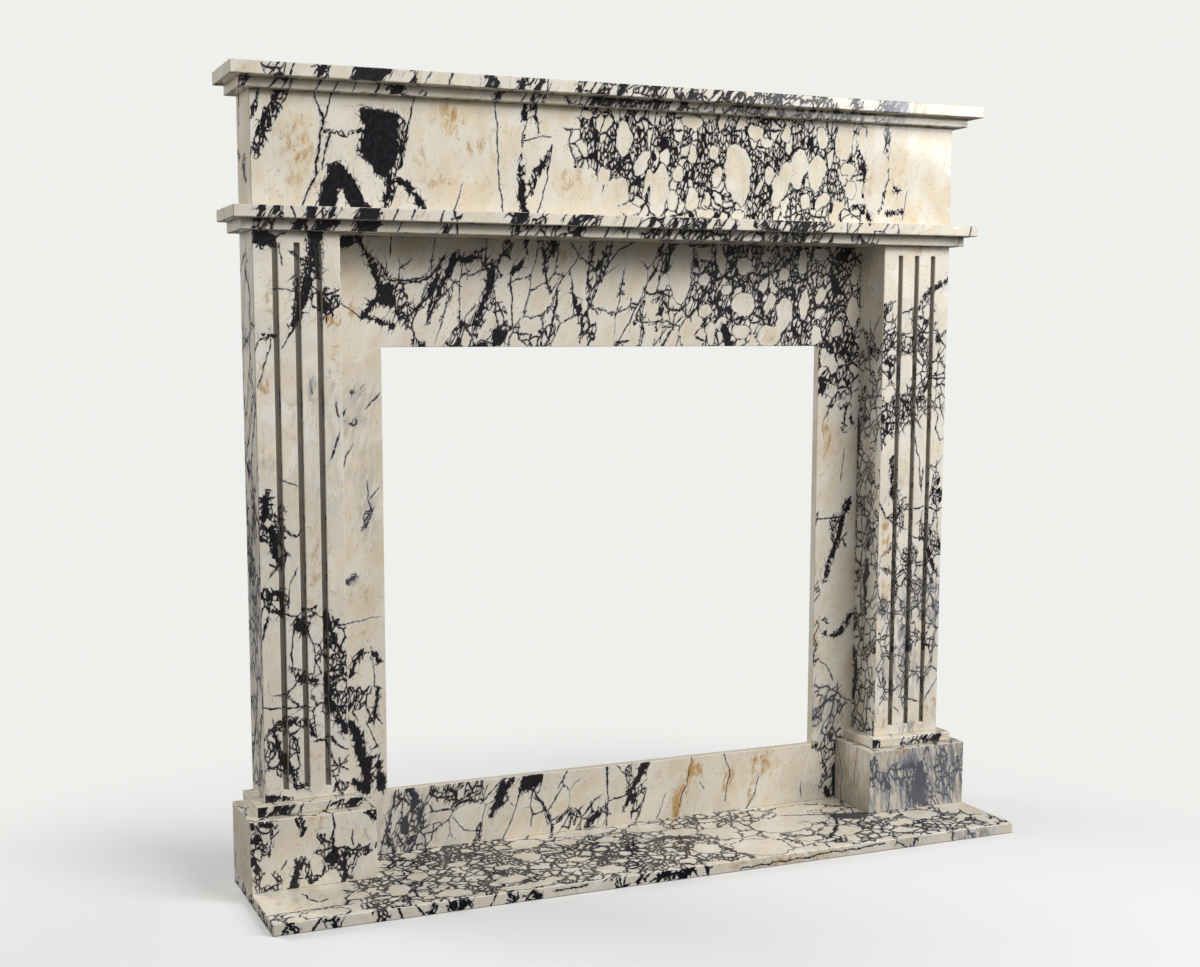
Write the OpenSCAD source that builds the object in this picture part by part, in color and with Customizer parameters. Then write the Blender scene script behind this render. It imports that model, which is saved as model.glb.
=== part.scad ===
// Fireplace mantelpiece: a flat-slab chimneypiece in marble, with fluted pilasters.
// X runs along the wall, the room is on the -Y side, the wall on the +Y side and Z is up.
// The origin is at the middle of the hearth slab's underside, on the floor.
// All sizes are in millimetres.

/* [Hearth slab] */
// Thickness of the slab that everything stands on
hearth_thickness = 19; // [15:1:60]
// How far the slab reaches into the room past the plinth blocks
hearth_projection = 148; // [20:1:400]

/* [Plinth blocks] */
// Height of each block
plinth_height = 117; // [40:1:250]
// How far the block stands out past the thin cap on its two sides
plinth_side_step = 17.5; // [2:0.5:40]
// How far the block stands out past the cap at the front
plinth_front_step = 19; // [2:0.5:40]

/* [Plinth caps] */
// Thickness of the thin slab between block and pilaster
cap_thickness = 17; // [8:1:40]
// How far the cap stands out past the pilaster on its two sides
cap_side_step = 17; // [2:0.5:40]
// How far the cap stands out past the pilaster at the front
cap_front_step = 21; // [2:0.5:40]

/* [Pilasters] */
// Clear width between the two pilasters
pilaster_gap = 1016; // [600:2:1600]
// Width of each pilaster
pilaster_width = 140; // [110:1:260]
// Depth of each pilaster from the wall to its face
pilaster_depth = 92; // [70:1:200]
// Height of each pilaster
pilaster_height = 908; // [500:1:1400]
// Thickness of the slabs that a pilaster is built up from; the inner one stops at the panel
pilaster_wall = 20; // [16:1:28]

/* [Flutes] */
// Number of flutes in each pilaster
flute_count = 3; // [1:1:3]
// Width of a flute
flute_width = 9; // [4:0.5:14]
// Depth of a flute
flute_depth = 10; // [3:0.5:12]
// Distance between the centres of two flutes
flute_pitch = 35; // [20:0.5:40]
// Plain stone left above and below each flute
flute_stop = 18; // [6:1:60]

/* [Back panel] */
// Thickness of the flat panel around the fire opening
panel_thickness = 16; // [12:1:30]
// Width of panel that shows beside the opening
panel_jamb = 88; // [30:1:200]
// Height of panel above the opening
panel_header = 180; // [40:1:250]
// Height of panel below the opening
panel_rail = 111; // [40:1:200]
// How far the panel reaches in behind each pilaster
panel_lap = 14; // [4:1:16]
// Play between the panel's edge and the rebate that takes it
panel_clearance = 1; // [0.5:0.5:4]

/* [Cornice] */
// Thickness of the lower, set-back cornice slab
cornice_bed_thickness = 17; // [8:1:40]
// How far that slab stands out past the pilasters at each end
cornice_bed_side_step = 20; // [2:0.5:40]
// How far that slab stands out past the pilasters at the front
cornice_bed_front_step = 16; // [2:0.5:40]
// Thickness of the upper, wider cornice slab
cornice_thickness = 19; // [8:1:40]
// How far the upper slab stands out past the lower at each end
cornice_side_step = 15.5; // [2:0.5:40]
// How far the upper slab stands out past the lower at the front
cornice_front_step = 20; // [2:0.5:40]

/* [Frieze] */
// Height of the plain frieze
frieze_height = 177; // [60:1:320]
// Thickness of the slabs that the frieze is built up from
frieze_wall = 20; // [15:1:35]

/* [Shelf] */
// Thickness of the slab under the shelf
shelf_bed_thickness = 15; // [8:1:40]
// How far that slab stands out past the frieze at each end
shelf_bed_side_step = 19.5; // [2:0.5:40]
// How far that slab stands out past the frieze at the front
shelf_bed_front_step = 18; // [2:0.5:40]
// Thickness of the shelf
shelf_thickness = 20; // [10:1:60]
// How far the shelf stands out past the slab under it at each end
shelf_side_step = 17.5; // [2:0.5:40]
// How far the shelf stands out past the slab under it at the front
shelf_front_step = 24; // [2:0.5:40]

/* [Edges] */
// Width of the flat rubbed onto each arris that can be seen
arris = 1.5; // [0.5:0.25:3]

/* [Hidden] */

// Lengths along the wall
frieze_length = pilaster_gap + 2 * pilaster_width;
cap_width = pilaster_width + 2 * cap_side_step;
plinth_width = cap_width + 2 * plinth_side_step;
hearth_length = pilaster_gap + pilaster_width + plinth_width;
cornice_bed_length = frieze_length + 2 * cornice_bed_side_step;
cornice_length = cornice_bed_length + 2 * cornice_side_step;
shelf_bed_length = frieze_length + 2 * shelf_bed_side_step;
shelf_length = shelf_bed_length + 2 * shelf_side_step;
pilaster_x = (pilaster_gap + pilaster_width) / 2;

// Depths from the wall
cap_depth = pilaster_depth + cap_front_step;
plinth_depth = cap_depth + plinth_front_step;
hearth_depth = plinth_depth + hearth_projection;
cornice_bed_depth = pilaster_depth + cornice_bed_front_step;
cornice_depth = cornice_bed_depth + cornice_front_step;
shelf_bed_depth = pilaster_depth + shelf_bed_front_step;
shelf_depth = shelf_bed_depth + shelf_front_step;
wall_y = hearth_depth / 2;

// Heights of the undersides, from the floor up
plinth_z = hearth_thickness;
cap_z = plinth_z + plinth_height;
pilaster_z = cap_z + cap_thickness;
cornice_bed_z = pilaster_z + pilaster_height;
cornice_z = cornice_bed_z + cornice_bed_thickness;
frieze_z = cornice_z + cornice_thickness;
shelf_bed_z = frieze_z + frieze_height;
shelf_z = shelf_bed_z + shelf_bed_thickness;

// Back panel
panel_width = pilaster_gap + 2 * panel_lap;
panel_height = cornice_bed_z - plinth_z;
opening_width = pilaster_gap - 2 * panel_jamb;
opening_height = panel_height - panel_header - panel_rail;
rebate_half_width = panel_width / 2 + panel_clearance;

// How far a cut runs past the stone it removes
past = 1;

stone = "ivory";
veined_stone = "linen";
panel_stone = "antiquewhite";

// A rectangle from x = 0 to size_x and y = 0 to size_y, whose corners named
// [low x low y, high x low y, high x high y, low x high y] lose a small flat.
module eased_rectangle(size_x, size_y, eased) {
    polygon(concat(
        eased[0] ? [[0, arris], [arris, 0]] : [[0, 0]],
        eased[1] ? [[size_x - arris, 0], [size_x, arris]] : [[size_x, 0]],
        eased[2] ? [[size_x, size_y - arris], [size_x - arris, size_y]] : [[size_x, size_y]],
        eased[3] ? [[arris, size_y], [0, size_y - arris]] : [[0, size_y]]
    ));
}

// Lifts a piece, drawn with its back at y = 0, to its height against the wall
module against_wall(underside) {
    translate([0, wall_y, underside]) children();
}

// A block centred on x = 0 with its back at y = 0 and its underside at z = 0.
// Its two front uprights are always eased, its top and bottom edges only where asked.
module eased_block(length, depth, height, top = true, bottom = true) {
    intersection() {
        translate([-length / 2, -depth, 0])
            linear_extrude(height)
                eased_rectangle(length, depth, [true, true, false, false]);
        translate([-length / 2, 0, 0])
            rotate([90, 0, 0])
                linear_extrude(depth)
                    eased_rectangle(length, height, [bottom, bottom, top, top]);
        translate([-length / 2, -depth, 0])
            rotate([90, 0, 90])
                linear_extrude(length)
                    eased_rectangle(depth, height, [bottom, false, false, top]);
    }
}

// Room for the back panel behind a piece that stands beside the opening
module panel_rebate(half_width, height) {
    translate([-half_width, -panel_thickness, -past])
        cube([2 * half_width, panel_thickness + past, height + 2 * past]);
}

// Puts a piece beside the opening and cuts its back for the panel; side is -1 or 1
module beside_opening(side, half_width, height) {
    difference() {
        translate([side * pilaster_x, 0, 0]) children();
        panel_rebate(half_width, height);
    }
}

module hearth_slab() {
    color(stone)
        against_wall(0)
            eased_block(hearth_length, hearth_depth, hearth_thickness, bottom = false);
}

module plinth(side) {
    color(veined_stone)
        against_wall(plinth_z)
            beside_opening(side, rebate_half_width, plinth_height)
                eased_block(plinth_width, plinth_depth, plinth_height, bottom = false);
}

module plinth_cap(side) {
    color(stone)
        against_wall(cap_z)
            beside_opening(side, rebate_half_width, cap_thickness)
                eased_block(cap_width, cap_depth, cap_thickness);
}

// One stopped flute, cut square, with its mouth on the pilaster's face
module flute() {
    translate([-flute_width / 2, -pilaster_depth - past, flute_stop])
        cube([flute_width, flute_depth + past, pilaster_height - 2 * flute_stop]);
}

// Three slabs joined at the corners into a channel that is open towards the wall
module channel(length, depth, height, wall) {
    difference() {
        eased_block(length, depth, height, top = false, bottom = false);
        translate([wall - length / 2, wall - depth, -past])
            cube([length - 2 * wall, depth - wall + past, height + 2 * past]);
    }
}

module pilaster(side) {
    color(veined_stone)
        against_wall(pilaster_z)
            beside_opening(side, pilaster_gap / 2 + pilaster_wall, pilaster_height)
                difference() {
                    channel(pilaster_width, pilaster_depth, pilaster_height, pilaster_wall);
                    for (i = [0 : flute_count - 1])
                        translate([(i - (flute_count - 1) / 2) * flute_pitch, 0, 0]) flute();
                }
}

module back_panel() {
    color(panel_stone)
        against_wall(plinth_z)
            difference() {
                translate([-panel_width / 2, -panel_thickness, 0])
                    cube([panel_width, panel_thickness, panel_height]);
                translate([-opening_width / 2, -panel_thickness - past, panel_rail])
                    cube([opening_width, panel_thickness + 2 * past, opening_height]);
            }
}

module cornice_bed() {
    color(veined_stone)
        against_wall(cornice_bed_z)
            eased_block(cornice_bed_length, cornice_bed_depth, cornice_bed_thickness, top = false);
}

module cornice_slab() {
    color(stone)
        against_wall(cornice_z)
            eased_block(cornice_length, cornice_depth, cornice_thickness);
}

module frieze() {
    color(veined_stone)
        against_wall(frieze_z)
            channel(frieze_length, pilaster_depth, frieze_height, frieze_wall);
}

module shelf_bed() {
    color(veined_stone)
        against_wall(shelf_bed_z)
            eased_block(shelf_bed_length, shelf_bed_depth, shelf_bed_thickness, top = false);
}

module mantel_shelf() {
    color(stone)
        against_wall(shelf_z)
            eased_block(shelf_length, shelf_depth, shelf_thickness);
}

hearth_slab();
plinth(-1);  // plinth_left
plinth(1);  // plinth_right
plinth_cap(-1);  // plinth_cap_left
plinth_cap(1);  // plinth_cap_right
pilaster(-1);  // pilaster_left
pilaster(1);  // pilaster_right
back_panel();
cornice_bed();
cornice_slab();
frieze();
shelf_bed();
mantel_shelf();
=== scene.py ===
# Fireplace mantelpiece in cream and black breccia marble: the slabs, their arrises and veining,
# a pale studio floor, soft lamps and the camera. Sizes are in mm, and mm turns them into metres.
import math

import bpy
import numpy as np
from mathutils import Euler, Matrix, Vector
from mathutils.bvhtree import BVHTree


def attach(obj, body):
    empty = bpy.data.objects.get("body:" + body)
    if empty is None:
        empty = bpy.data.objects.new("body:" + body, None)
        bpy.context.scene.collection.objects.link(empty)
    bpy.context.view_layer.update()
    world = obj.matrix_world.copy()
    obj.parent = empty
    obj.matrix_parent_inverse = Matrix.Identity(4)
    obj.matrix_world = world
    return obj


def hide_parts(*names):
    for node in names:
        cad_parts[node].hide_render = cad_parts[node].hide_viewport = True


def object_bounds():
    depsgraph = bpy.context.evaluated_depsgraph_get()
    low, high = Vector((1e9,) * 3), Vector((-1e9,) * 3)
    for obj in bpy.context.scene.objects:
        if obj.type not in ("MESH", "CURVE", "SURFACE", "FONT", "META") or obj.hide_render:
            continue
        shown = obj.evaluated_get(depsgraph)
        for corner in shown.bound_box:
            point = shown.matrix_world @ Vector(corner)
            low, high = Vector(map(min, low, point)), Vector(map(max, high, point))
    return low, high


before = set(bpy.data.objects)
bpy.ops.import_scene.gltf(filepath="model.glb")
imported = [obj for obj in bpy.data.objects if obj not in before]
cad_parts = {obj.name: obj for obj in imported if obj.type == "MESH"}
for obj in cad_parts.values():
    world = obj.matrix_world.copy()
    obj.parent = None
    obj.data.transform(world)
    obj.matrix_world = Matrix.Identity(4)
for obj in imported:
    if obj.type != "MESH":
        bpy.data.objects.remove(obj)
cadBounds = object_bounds()
mm = 0.001

# each stone is cut into a fine lattice over its solid, side by side
sideNames = ["west", "east", "front", "back", "under", "top"]   # -x +x -y +y -z +z


def flatPlanes(mesh, axis):
    # where the stone's flat faces lie across one axis, in mm
    return sorted({round(face.center[axis] / mm, 2) for face in mesh.polygons
                   if abs(face.normal[axis]) > 0.999})


def insideStone(tree, point):
    # counts the faces above a point: an odd number means stone
    start, hits = Vector(point) * mm, 0
    way = Vector((0.0031, 0.0017, 1.0)).normalized()    # a little off upright, to miss every edge
    while True:
        place = tree.ray_cast(start, way)[0]
        if place is None:
            return hits % 2 == 1
        hits += 1
        start = place + way * 1e-5


def latticeLines(planes, step, arris):
    # one line on each plane, one just beside it for the arris, and even steps between
    lines, owner = [], []
    for i, (low, high) in enumerate(zip(planes, planes[1:])):
        stops = [low, high] if high - low < 3 * arris else [low, low + arris, high - arris, high]
        for a, b in zip(stops, stops[1:]):
            count = max(1, round((b - a) / step))
            lines += [a + (b - a) * k / count for k in range(count)]
            owner += [i] * count
    return np.array(lines + [planes[-1]]), np.array(owner)


def cutStone(nodeName, step, arris):
    # lattice points, quads and the side each quad faces, read from the frame's own solid
    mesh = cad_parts[nodeName].data
    tree = BVHTree.FromPolygons([v.co for v in mesh.vertices], [p.vertices for p in mesh.polygons])
    planes = [flatPlanes(mesh, axis) for axis in range(3)]
    middles = [(np.array(p[:-1]) + np.array(p[1:])) / 2 for p in planes]
    block = np.array([[[insideStone(tree, (x, y, z)) for z in middles[2]] for y in middles[1]]
                      for x in middles[0]])
    lines, owners = zip(*[latticeLines(p, step, arris) for p in planes])
    solid = np.pad(block[np.ix_(*owners)], 1)
    size = [len(line) for line in lines]
    quads, sides = [], []
    for axis in range(3):
        u, v = (axis + 1) % 3, (axis + 2) % 3
        inner = [slice(1, -1)] * 3
        below, above = list(inner), list(inner)
        below[axis], above[axis] = slice(0, -1), slice(1, None)
        before, after = solid[tuple(below)], solid[tuple(above)]
        for way, faces in enumerate([after & ~before, before & ~after]):
            corner = np.argwhere(faces)
            ring = [(0, 0), (1, 0), (1, 1), (0, 1)] if way else [(0, 0), (0, 1), (1, 1), (1, 0)]
            quad = []
            for du, dv in ring:
                spot = corner.copy()
                spot[:, u] += du
                spot[:, v] += dv
                quad.append(np.ravel_multi_index(spot.T, size))
            quads.append(np.stack(quad, 1))
            sides.append(np.full(len(corner), axis * 2 + way))
    quads, sides = np.concatenate(quads), np.concatenate(sides)
    used, flat = np.unique(quads, return_inverse=True)
    quads = flat.reshape(-1, 4)
    spots = np.stack(np.unravel_index(used, size), 1)
    points = np.stack([lines[axis][spots[:, axis]] for axis in range(3)], 1)
    around, inward = np.zeros(len(spots), int), np.zeros((len(spots), 3))
    for a in (0, 1):
        for b in (0, 1):
            for c in (0, 1):
                filled = solid[spots[:, 0] + a, spots[:, 1] + b, spots[:, 2] + c]
                around += filled
                inward += filled[:, None] * np.array([2 * a - 1, 2 * b - 1, 2 * c - 1])
    keenness = np.array([tree.find_nearest(Vector(p) * mm)[3] / mm if n < 4 else 0
                         for p, n in zip(points, around)])
    return points, quads, sides, around, np.sign(inward), keenness


def noiseAt(points, size, seed):
    # smooth value noise from -1 to 1 over a lattice of random numbers
    rng = np.random.default_rng(seed)
    table = rng.uniform(-1, 1, 4096)
    p = points / size
    base = np.floor(p).astype(int)
    t = p - base
    t = t * t * (3 - 2 * t)
    total = np.zeros(len(points))
    for a in (0, 1):
        for b in (0, 1):
            for c in (0, 1):
                key = ((base[:, 0] + a) * 73 + (base[:, 1] + b) * 179 + (base[:, 2] + c) * 283) % 4096
                share = (np.where(a, t[:, 0], 1 - t[:, 0]) * np.where(b, t[:, 1], 1 - t[:, 1])
                         * np.where(c, t[:, 2], 1 - t[:, 2]))
                total += table[key] * share
    return total


def wearEdges(points, around, inward, keenness, look):
    # rounds each arris a little unevenly and knocks a few small chips out of it
    arris, seed = look["arris"], look["seed"]
    worn = points.copy()
    edge = around <= 3
    rounding = np.where(keenness > 0.5 * arris, 0.29, 0.12) * arris
    rounding *= 1 + 0.35 * noiseAt(points, 23, seed) + 0.25 * noiseAt(points, 7, seed + 1)
    worn[edge] += (inward * rounding[:, None])[edge]
    rng = np.random.default_rng(seed)
    bareEdges = np.flatnonzero((around == 2) & (keenness > 0.5 * arris))
    for spot in rng.choice(bareEdges, min(look["chips"], len(bareEdges)), replace=False):
        reach, depth = rng.uniform(4, 9), rng.uniform(0.6, 1.8)
        away = np.linalg.norm(points - points[spot], axis=1)
        near = (away < reach) & (around <= 4)
        fall = depth * (1 - (away[near] / reach) ** 2)
        worn[near] += inward[spot] * fall[:, None] * np.where(around[near] < 4, 1.0, 0.35)[:, None]
    return worn


def turned(u, v, spot):
    # distance from a turned oval's middle, 1 on its outline, with the slope of that distance
    u0, v0, ru, rv, turn = spot[:5]
    c, s = math.cos(math.radians(turn)), math.sin(math.radians(turn))
    a, b = (u - u0) * c + (v - v0) * s, (v - v0) * c - (u - u0) * s
    q = np.sqrt((a / ru) ** 2 + (b / rv) ** 2) + 1e-6
    slope = np.sqrt((a / ru ** 2) ** 2 + (b / rv ** 2) ** 2) / q
    return q, slope


def spotted(u, v, base, spots):
    # a base level with soft-edged ovals of more or less on it
    level = np.full(len(u), float(base))
    for spot in spots:
        level += spot[5] / (1 + turned(u, v, spot)[0] ** 6)
    return level


def ovals(u, v, spots):
    # how far inside the nearest oval's outline, in mm
    deep = np.full(len(u), -99.0)
    for spot in spots:
        q, slope = turned(u, v, spot)
        deep = np.maximum(deep, (1 - q) / slope)
    return deep


def alongStroke(u, v, a, b):
    # share of the way from a to b, the offset to the left of that line, and its length
    du, dv = b[0] - a[0], b[1] - a[1]
    length = math.hypot(du, dv)
    share = ((u - a[0]) * du + (v - a[1]) * dv) / length ** 2
    return share, ((u - a[0]) * dv - (v - a[1]) * du) / length, length


def strokes(u, v, paths):
    # how far inside the nearest broad stroke, in mm; each point of a path is (u, v, half width)
    deep = np.full(len(u), -99.0)
    for path in paths:
        for a, b in zip(path, path[1:]):
            share, off, length = alongStroke(u, v, a, b)
            t = np.clip(share, 0, 1)
            deep = np.maximum(deep, a[2] + (b[2] - a[2]) * t - np.hypot(off, (share - t) * length))
    return deep


def patches(u, v, outlines):
    # how far inside the nearest straight-sided patch, in mm
    deep = np.full(len(u), -99.0)
    for outline in outlines:
        inside, away = np.zeros(len(u), bool), np.full(len(u), 1e9)
        for a, b in zip(outline, outline[1:] + outline[:1]):
            share, off, length = alongStroke(u, v, a, b)
            away = np.minimum(away, np.hypot(off, (share - np.clip(share, 0, 1)) * length))
            if a[1] != b[1]:
                crosses = (a[1] > v) != (b[1] > v)
                inside ^= crosses & (u < a[0] + (b[0] - a[0]) * (v - a[1]) / (b[1] - a[1]))
        deep = np.maximum(deep, np.where(inside, away, -away))
    return deep


def fineVeins(u, v, paths):
    # each quad keeps one straight piece of vein, so that a thin vein stays sharp between corners
    middleU, middleV = u.mean(1), v.mean(1)
    best = np.full(len(u), 1e9)
    across, half = np.full(u.shape, 99.0), np.zeros(u.shape)
    for path in paths:
        for a, b in zip(path, path[1:]):
            share, off, length = alongStroke(middleU, middleV, a, b)
            away = np.hypot(off, (share - np.clip(share, 0, 1)) * length)
            near = away < best
            best = np.where(near, away, best)
            share, off, length = alongStroke(u[near], v[near], a, b)
            t = np.clip(share, 0, 1)
            across[near] = off
            half[near] = a[2] + (b[2] - a[2]) * t - 0.5 * np.abs(share - t) * length
    return across, half


def faceSpread(side, points, low, high):
    # u and v in mm on one side of a stone, for placing the listed things
    x, y, z = points[..., 0], points[..., 1], points[..., 2]
    if side in ("front", "back"):
        return x - low[0], z - low[2]
    if side in ("west", "east"):
        return high[1] - y, z - low[2]
    return x - low[0], y - low[1]


def unfolded(side, points, low, high):
    # the same stone laid flat, so that the grain runs on over its edges
    x, y, z = (points - low).transpose(2, 0, 1)
    length, height = high[0] - low[0], high[2] - low[2]
    return {"front": (x, z), "top": (x, height + y), "under": (x, -y), "west": (-y, z),
            "east": (length + y, z), "back": (x + 2000, z + 700)}[side]


plainFace = {"crumb": 0.0, "crumbs": [], "bundles": [], "clasts": [], "ink": [], "patches": [],
             "veins": [], "stains": [], "haze": [], "lean": 0.0, "stretch": 1.4, "offset": (0, 0)}
fluteReach = 12    # deeper than a flute, shallower than a hollow


def layVeining(mesh, points, quads, sides, look):
    # writes where the stone lies in its block, what grows there and the painted shade in its flutes, on
    # every face corner
    low, high = points.min(0), points.max(0)
    corners = points[quads]
    middle = corners.mean(1)
    stone, growth, shapes, vein = (np.zeros(corners.shape) for _ in range(4))
    vein[..., 0] = 99.0
    for number, side in enumerate(sideNames):
        mine = sides == number
        if not mine.any():
            continue
        face = plainFace | look["faces"].get(side, look["faces"]["rest"])
        s, t = unfolded(side, corners[mine], low, high)
        s, t = s + face["offset"][0] + look["seed"] * 191, t + face["offset"][1]
        stone[mine, :, 0] = s - face["lean"] * t
        stone[mine, :, 1] = t / face["stretch"]
        u, v = faceSpread(side, corners[mine], low, high)
        flatU, flatV = u.ravel(), v.ravel()
        crumb = spotted(flatU, flatV, face["crumb"], face["crumbs"])
        bundle = np.clip(0.5 + strokes(flatU, flatV, face["bundles"]) / 5, 0, 1) * 0.85
        black = np.maximum(strokes(flatU, flatV, face["ink"]), patches(flatU, flatV, face["patches"]))
        broken = np.clip(1.2 + black / 6, 0, 1) * 0.5      # stone is broken up around the black too
        crumb = np.maximum(np.maximum(crumb, bundle), broken)
        stain = spotted(flatU, flatV, 0, face["stains"])
        haze = spotted(flatU, flatV, 0, face["haze"])
        growth[mine] = np.stack([crumb, stain, haze], -1).reshape(-1, 4, 3)
        shapes[mine, :, 0] = black.reshape(-1, 4)
        shapes[mine, :, 1] = ovals(flatU, flatV, face["clasts"]).reshape(-1, 4)
        if face["veins"]:
            vein[mine, :, 0], vein[mine, :, 1] = fineVeins(u, v, face["veins"])
    shapes[sides == sideNames.index("back"), :, 2] = 1.0    # backs are sawn
    if look.get("hollow"):
        # so are the hollows behind a thin slab, and the flutes get painted shade: a dark brown for the
        # shade deep in them
        insideX = np.minimum(middle[:, 0] - low[0], high[0] - middle[:, 0]) > 2
        fromFront = middle[:, 1] - low[1]
        shapes[insideX & (fromFront > fluteReach), :, 2] = 1.0
        upright = sides <= sideNames.index("front")
        vein[insideX & (fromFront > 1.8) & (fromFront < fluteReach) & upright, :, 2] = 1.0
    for name, values in (("stone", stone), ("growth", growth), ("shapes", shapes), ("vein", vein)):
        layer = mesh.attributes.new(name, "FLOAT_VECTOR", "CORNER")
        layer.data.foreach_set("vector", values.astype(np.float32).ravel())


def buildStone(nodeName, look, marble):
    points, quads, sides, around, inward, keenness = cutStone(nodeName, look["step"], look["arris"])
    worn = wearEdges(points, around, inward, keenness, look)
    mesh = bpy.data.meshes.new(nodeName + "_stone")
    mesh.from_pydata((worn * mm).tolist(), [], quads.tolist())
    layVeining(mesh, points, quads, sides, look)
    mesh.materials.append(marble)
    # flat faces stay flat and only the arris itself is shaded round
    faceWay = np.empty(len(quads) * 3)
    mesh.polygons.foreach_get("normal", faceWay)
    faceWay = faceWay.reshape(-1, 3)
    loopWay = np.repeat(faceWay, 4, 0).reshape(-1, 4, 3)
    pointWay = np.zeros(worn.shape)
    for corner in range(4):
        np.add.at(pointWay, quads[:, corner], faceWay)
    pointWay /= np.linalg.norm(pointWay, axis=1)[:, None] + 1e-9
    rounded = (around <= 2)[quads]
    loopWay[rounded] = pointWay[quads][rounded]
    mesh.polygons.foreach_set("use_smooth", [True] * len(quads))
    mesh.normals_split_custom_set(loopWay.reshape(-1, 3).tolist())
    piece = bpy.data.objects.new(nodeName + "_stone", mesh)
    bpy.context.scene.collection.objects.link(piece)
    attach(piece, "root")
    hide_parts(nodeName)
    print(nodeName, len(quads), "faces")
    return piece


def colourOf(r, g, b):
    # 0-255 as seen on screen to the linear values that Blender wants
    return tuple((c / 255 / 12.92 if c / 255 <= 0.04045 else ((c / 255 + 0.055) / 1.055) ** 2.4)
                 for c in (r, g, b)) + (1.0,)


def plug(tree, socket, value):
    if isinstance(value, bpy.types.NodeSocket):
        tree.links.new(value, socket)
    else:
        socket.default_value = value


def calc(tree, operation, a, b=0.0, c=0.0, clamp=False):
    n = tree.nodes.new("ShaderNodeMath")
    n.operation, n.use_clamp = operation, clamp
    for socket, value in zip(n.inputs, (a, b, c)):
        plug(tree, socket, value)
    return n.outputs[0]


def vectorCalc(tree, operation, a, b=(0, 0, 0), scale=1.0):
    n = tree.nodes.new("ShaderNodeVectorMath")
    n.operation = operation
    plug(tree, n.inputs[0], a)
    plug(tree, n.inputs[1], b)
    if operation == "SCALE":
        plug(tree, n.inputs["Scale"], scale)
    return n.outputs[0]


def step(tree, value, low, high, start=0.0, end=1.0):
    # eases from start to end while value goes from low to high
    n = tree.nodes.new("ShaderNodeMapRange")
    n.interpolation_type = "SMOOTHSTEP"
    for name, number in (("Value", value), ("From Min", low), ("From Max", high),
                         ("To Min", start), ("To Max", end)):
        plug(tree, n.inputs[name], number)
    return n.outputs[0]


def mixColour(tree, share, a, b):
    n = tree.nodes.new("ShaderNodeMix")
    n.data_type = "RGBA"
    plug(tree, n.inputs["Factor"], share)
    plug(tree, n.inputs[6], a)
    plug(tree, n.inputs[7], b)
    return n.outputs[2]


def cloud(tree, place, size, detail=2.0, rough=0.5):
    # noise with patches of about that size in mm; gives its value and its colour
    n = tree.nodes.new("ShaderNodeTexNoise")
    n.noise_dimensions = "2D"
    plug(tree, n.inputs["Vector"], place)
    n.inputs["Scale"].default_value = 1 / size
    n.inputs["Detail"].default_value = detail
    n.inputs["Roughness"].default_value = rough
    return n.outputs["Fac"], n.outputs["Color"]


def shove(tree, place, size, reach, detail=2.0):
    # moves a place about by up to reach mm
    colour = cloud(tree, place, size, detail)[1]
    centred = vectorCalc(tree, "SUBTRACT", colour, (0.5, 0.5, 0.5))
    return vectorCalc(tree, "ADD", place, vectorCalc(tree, "SCALE", centred, scale=2 * reach))


def crackNet(tree, place, size):
    # distance in mm to the nearest crack between fragments of that size
    n = tree.nodes.new("ShaderNodeTexVoronoi")
    n.voronoi_dimensions = "2D"
    n.feature = "DISTANCE_TO_EDGE"
    plug(tree, n.inputs["Vector"], place)
    n.inputs["Scale"].default_value = 1 / size
    return calc(tree, "MULTIPLY", n.outputs["Distance"], size)


def fragment(tree, place, size):
    # a random number for each fragment, and the distance in mm from its middle
    n = tree.nodes.new("ShaderNodeTexVoronoi")
    n.voronoi_dimensions = "2D"
    plug(tree, n.inputs["Vector"], place)
    n.inputs["Scale"].default_value = 1 / size
    return splitUp(tree, n.outputs["Color"])[0], calc(tree, "MULTIPLY", n.outputs["Distance"], size)


def readLayer(tree, name):
    n = tree.nodes.new("ShaderNodeAttribute")
    n.attribute_name = name
    return n.outputs["Vector"]


def splitUp(tree, vector):
    n = tree.nodes.new("ShaderNodeSeparateXYZ")
    plug(tree, n.inputs[0], vector)
    return n.outputs[0], n.outputs[1], n.outputs[2]


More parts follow.
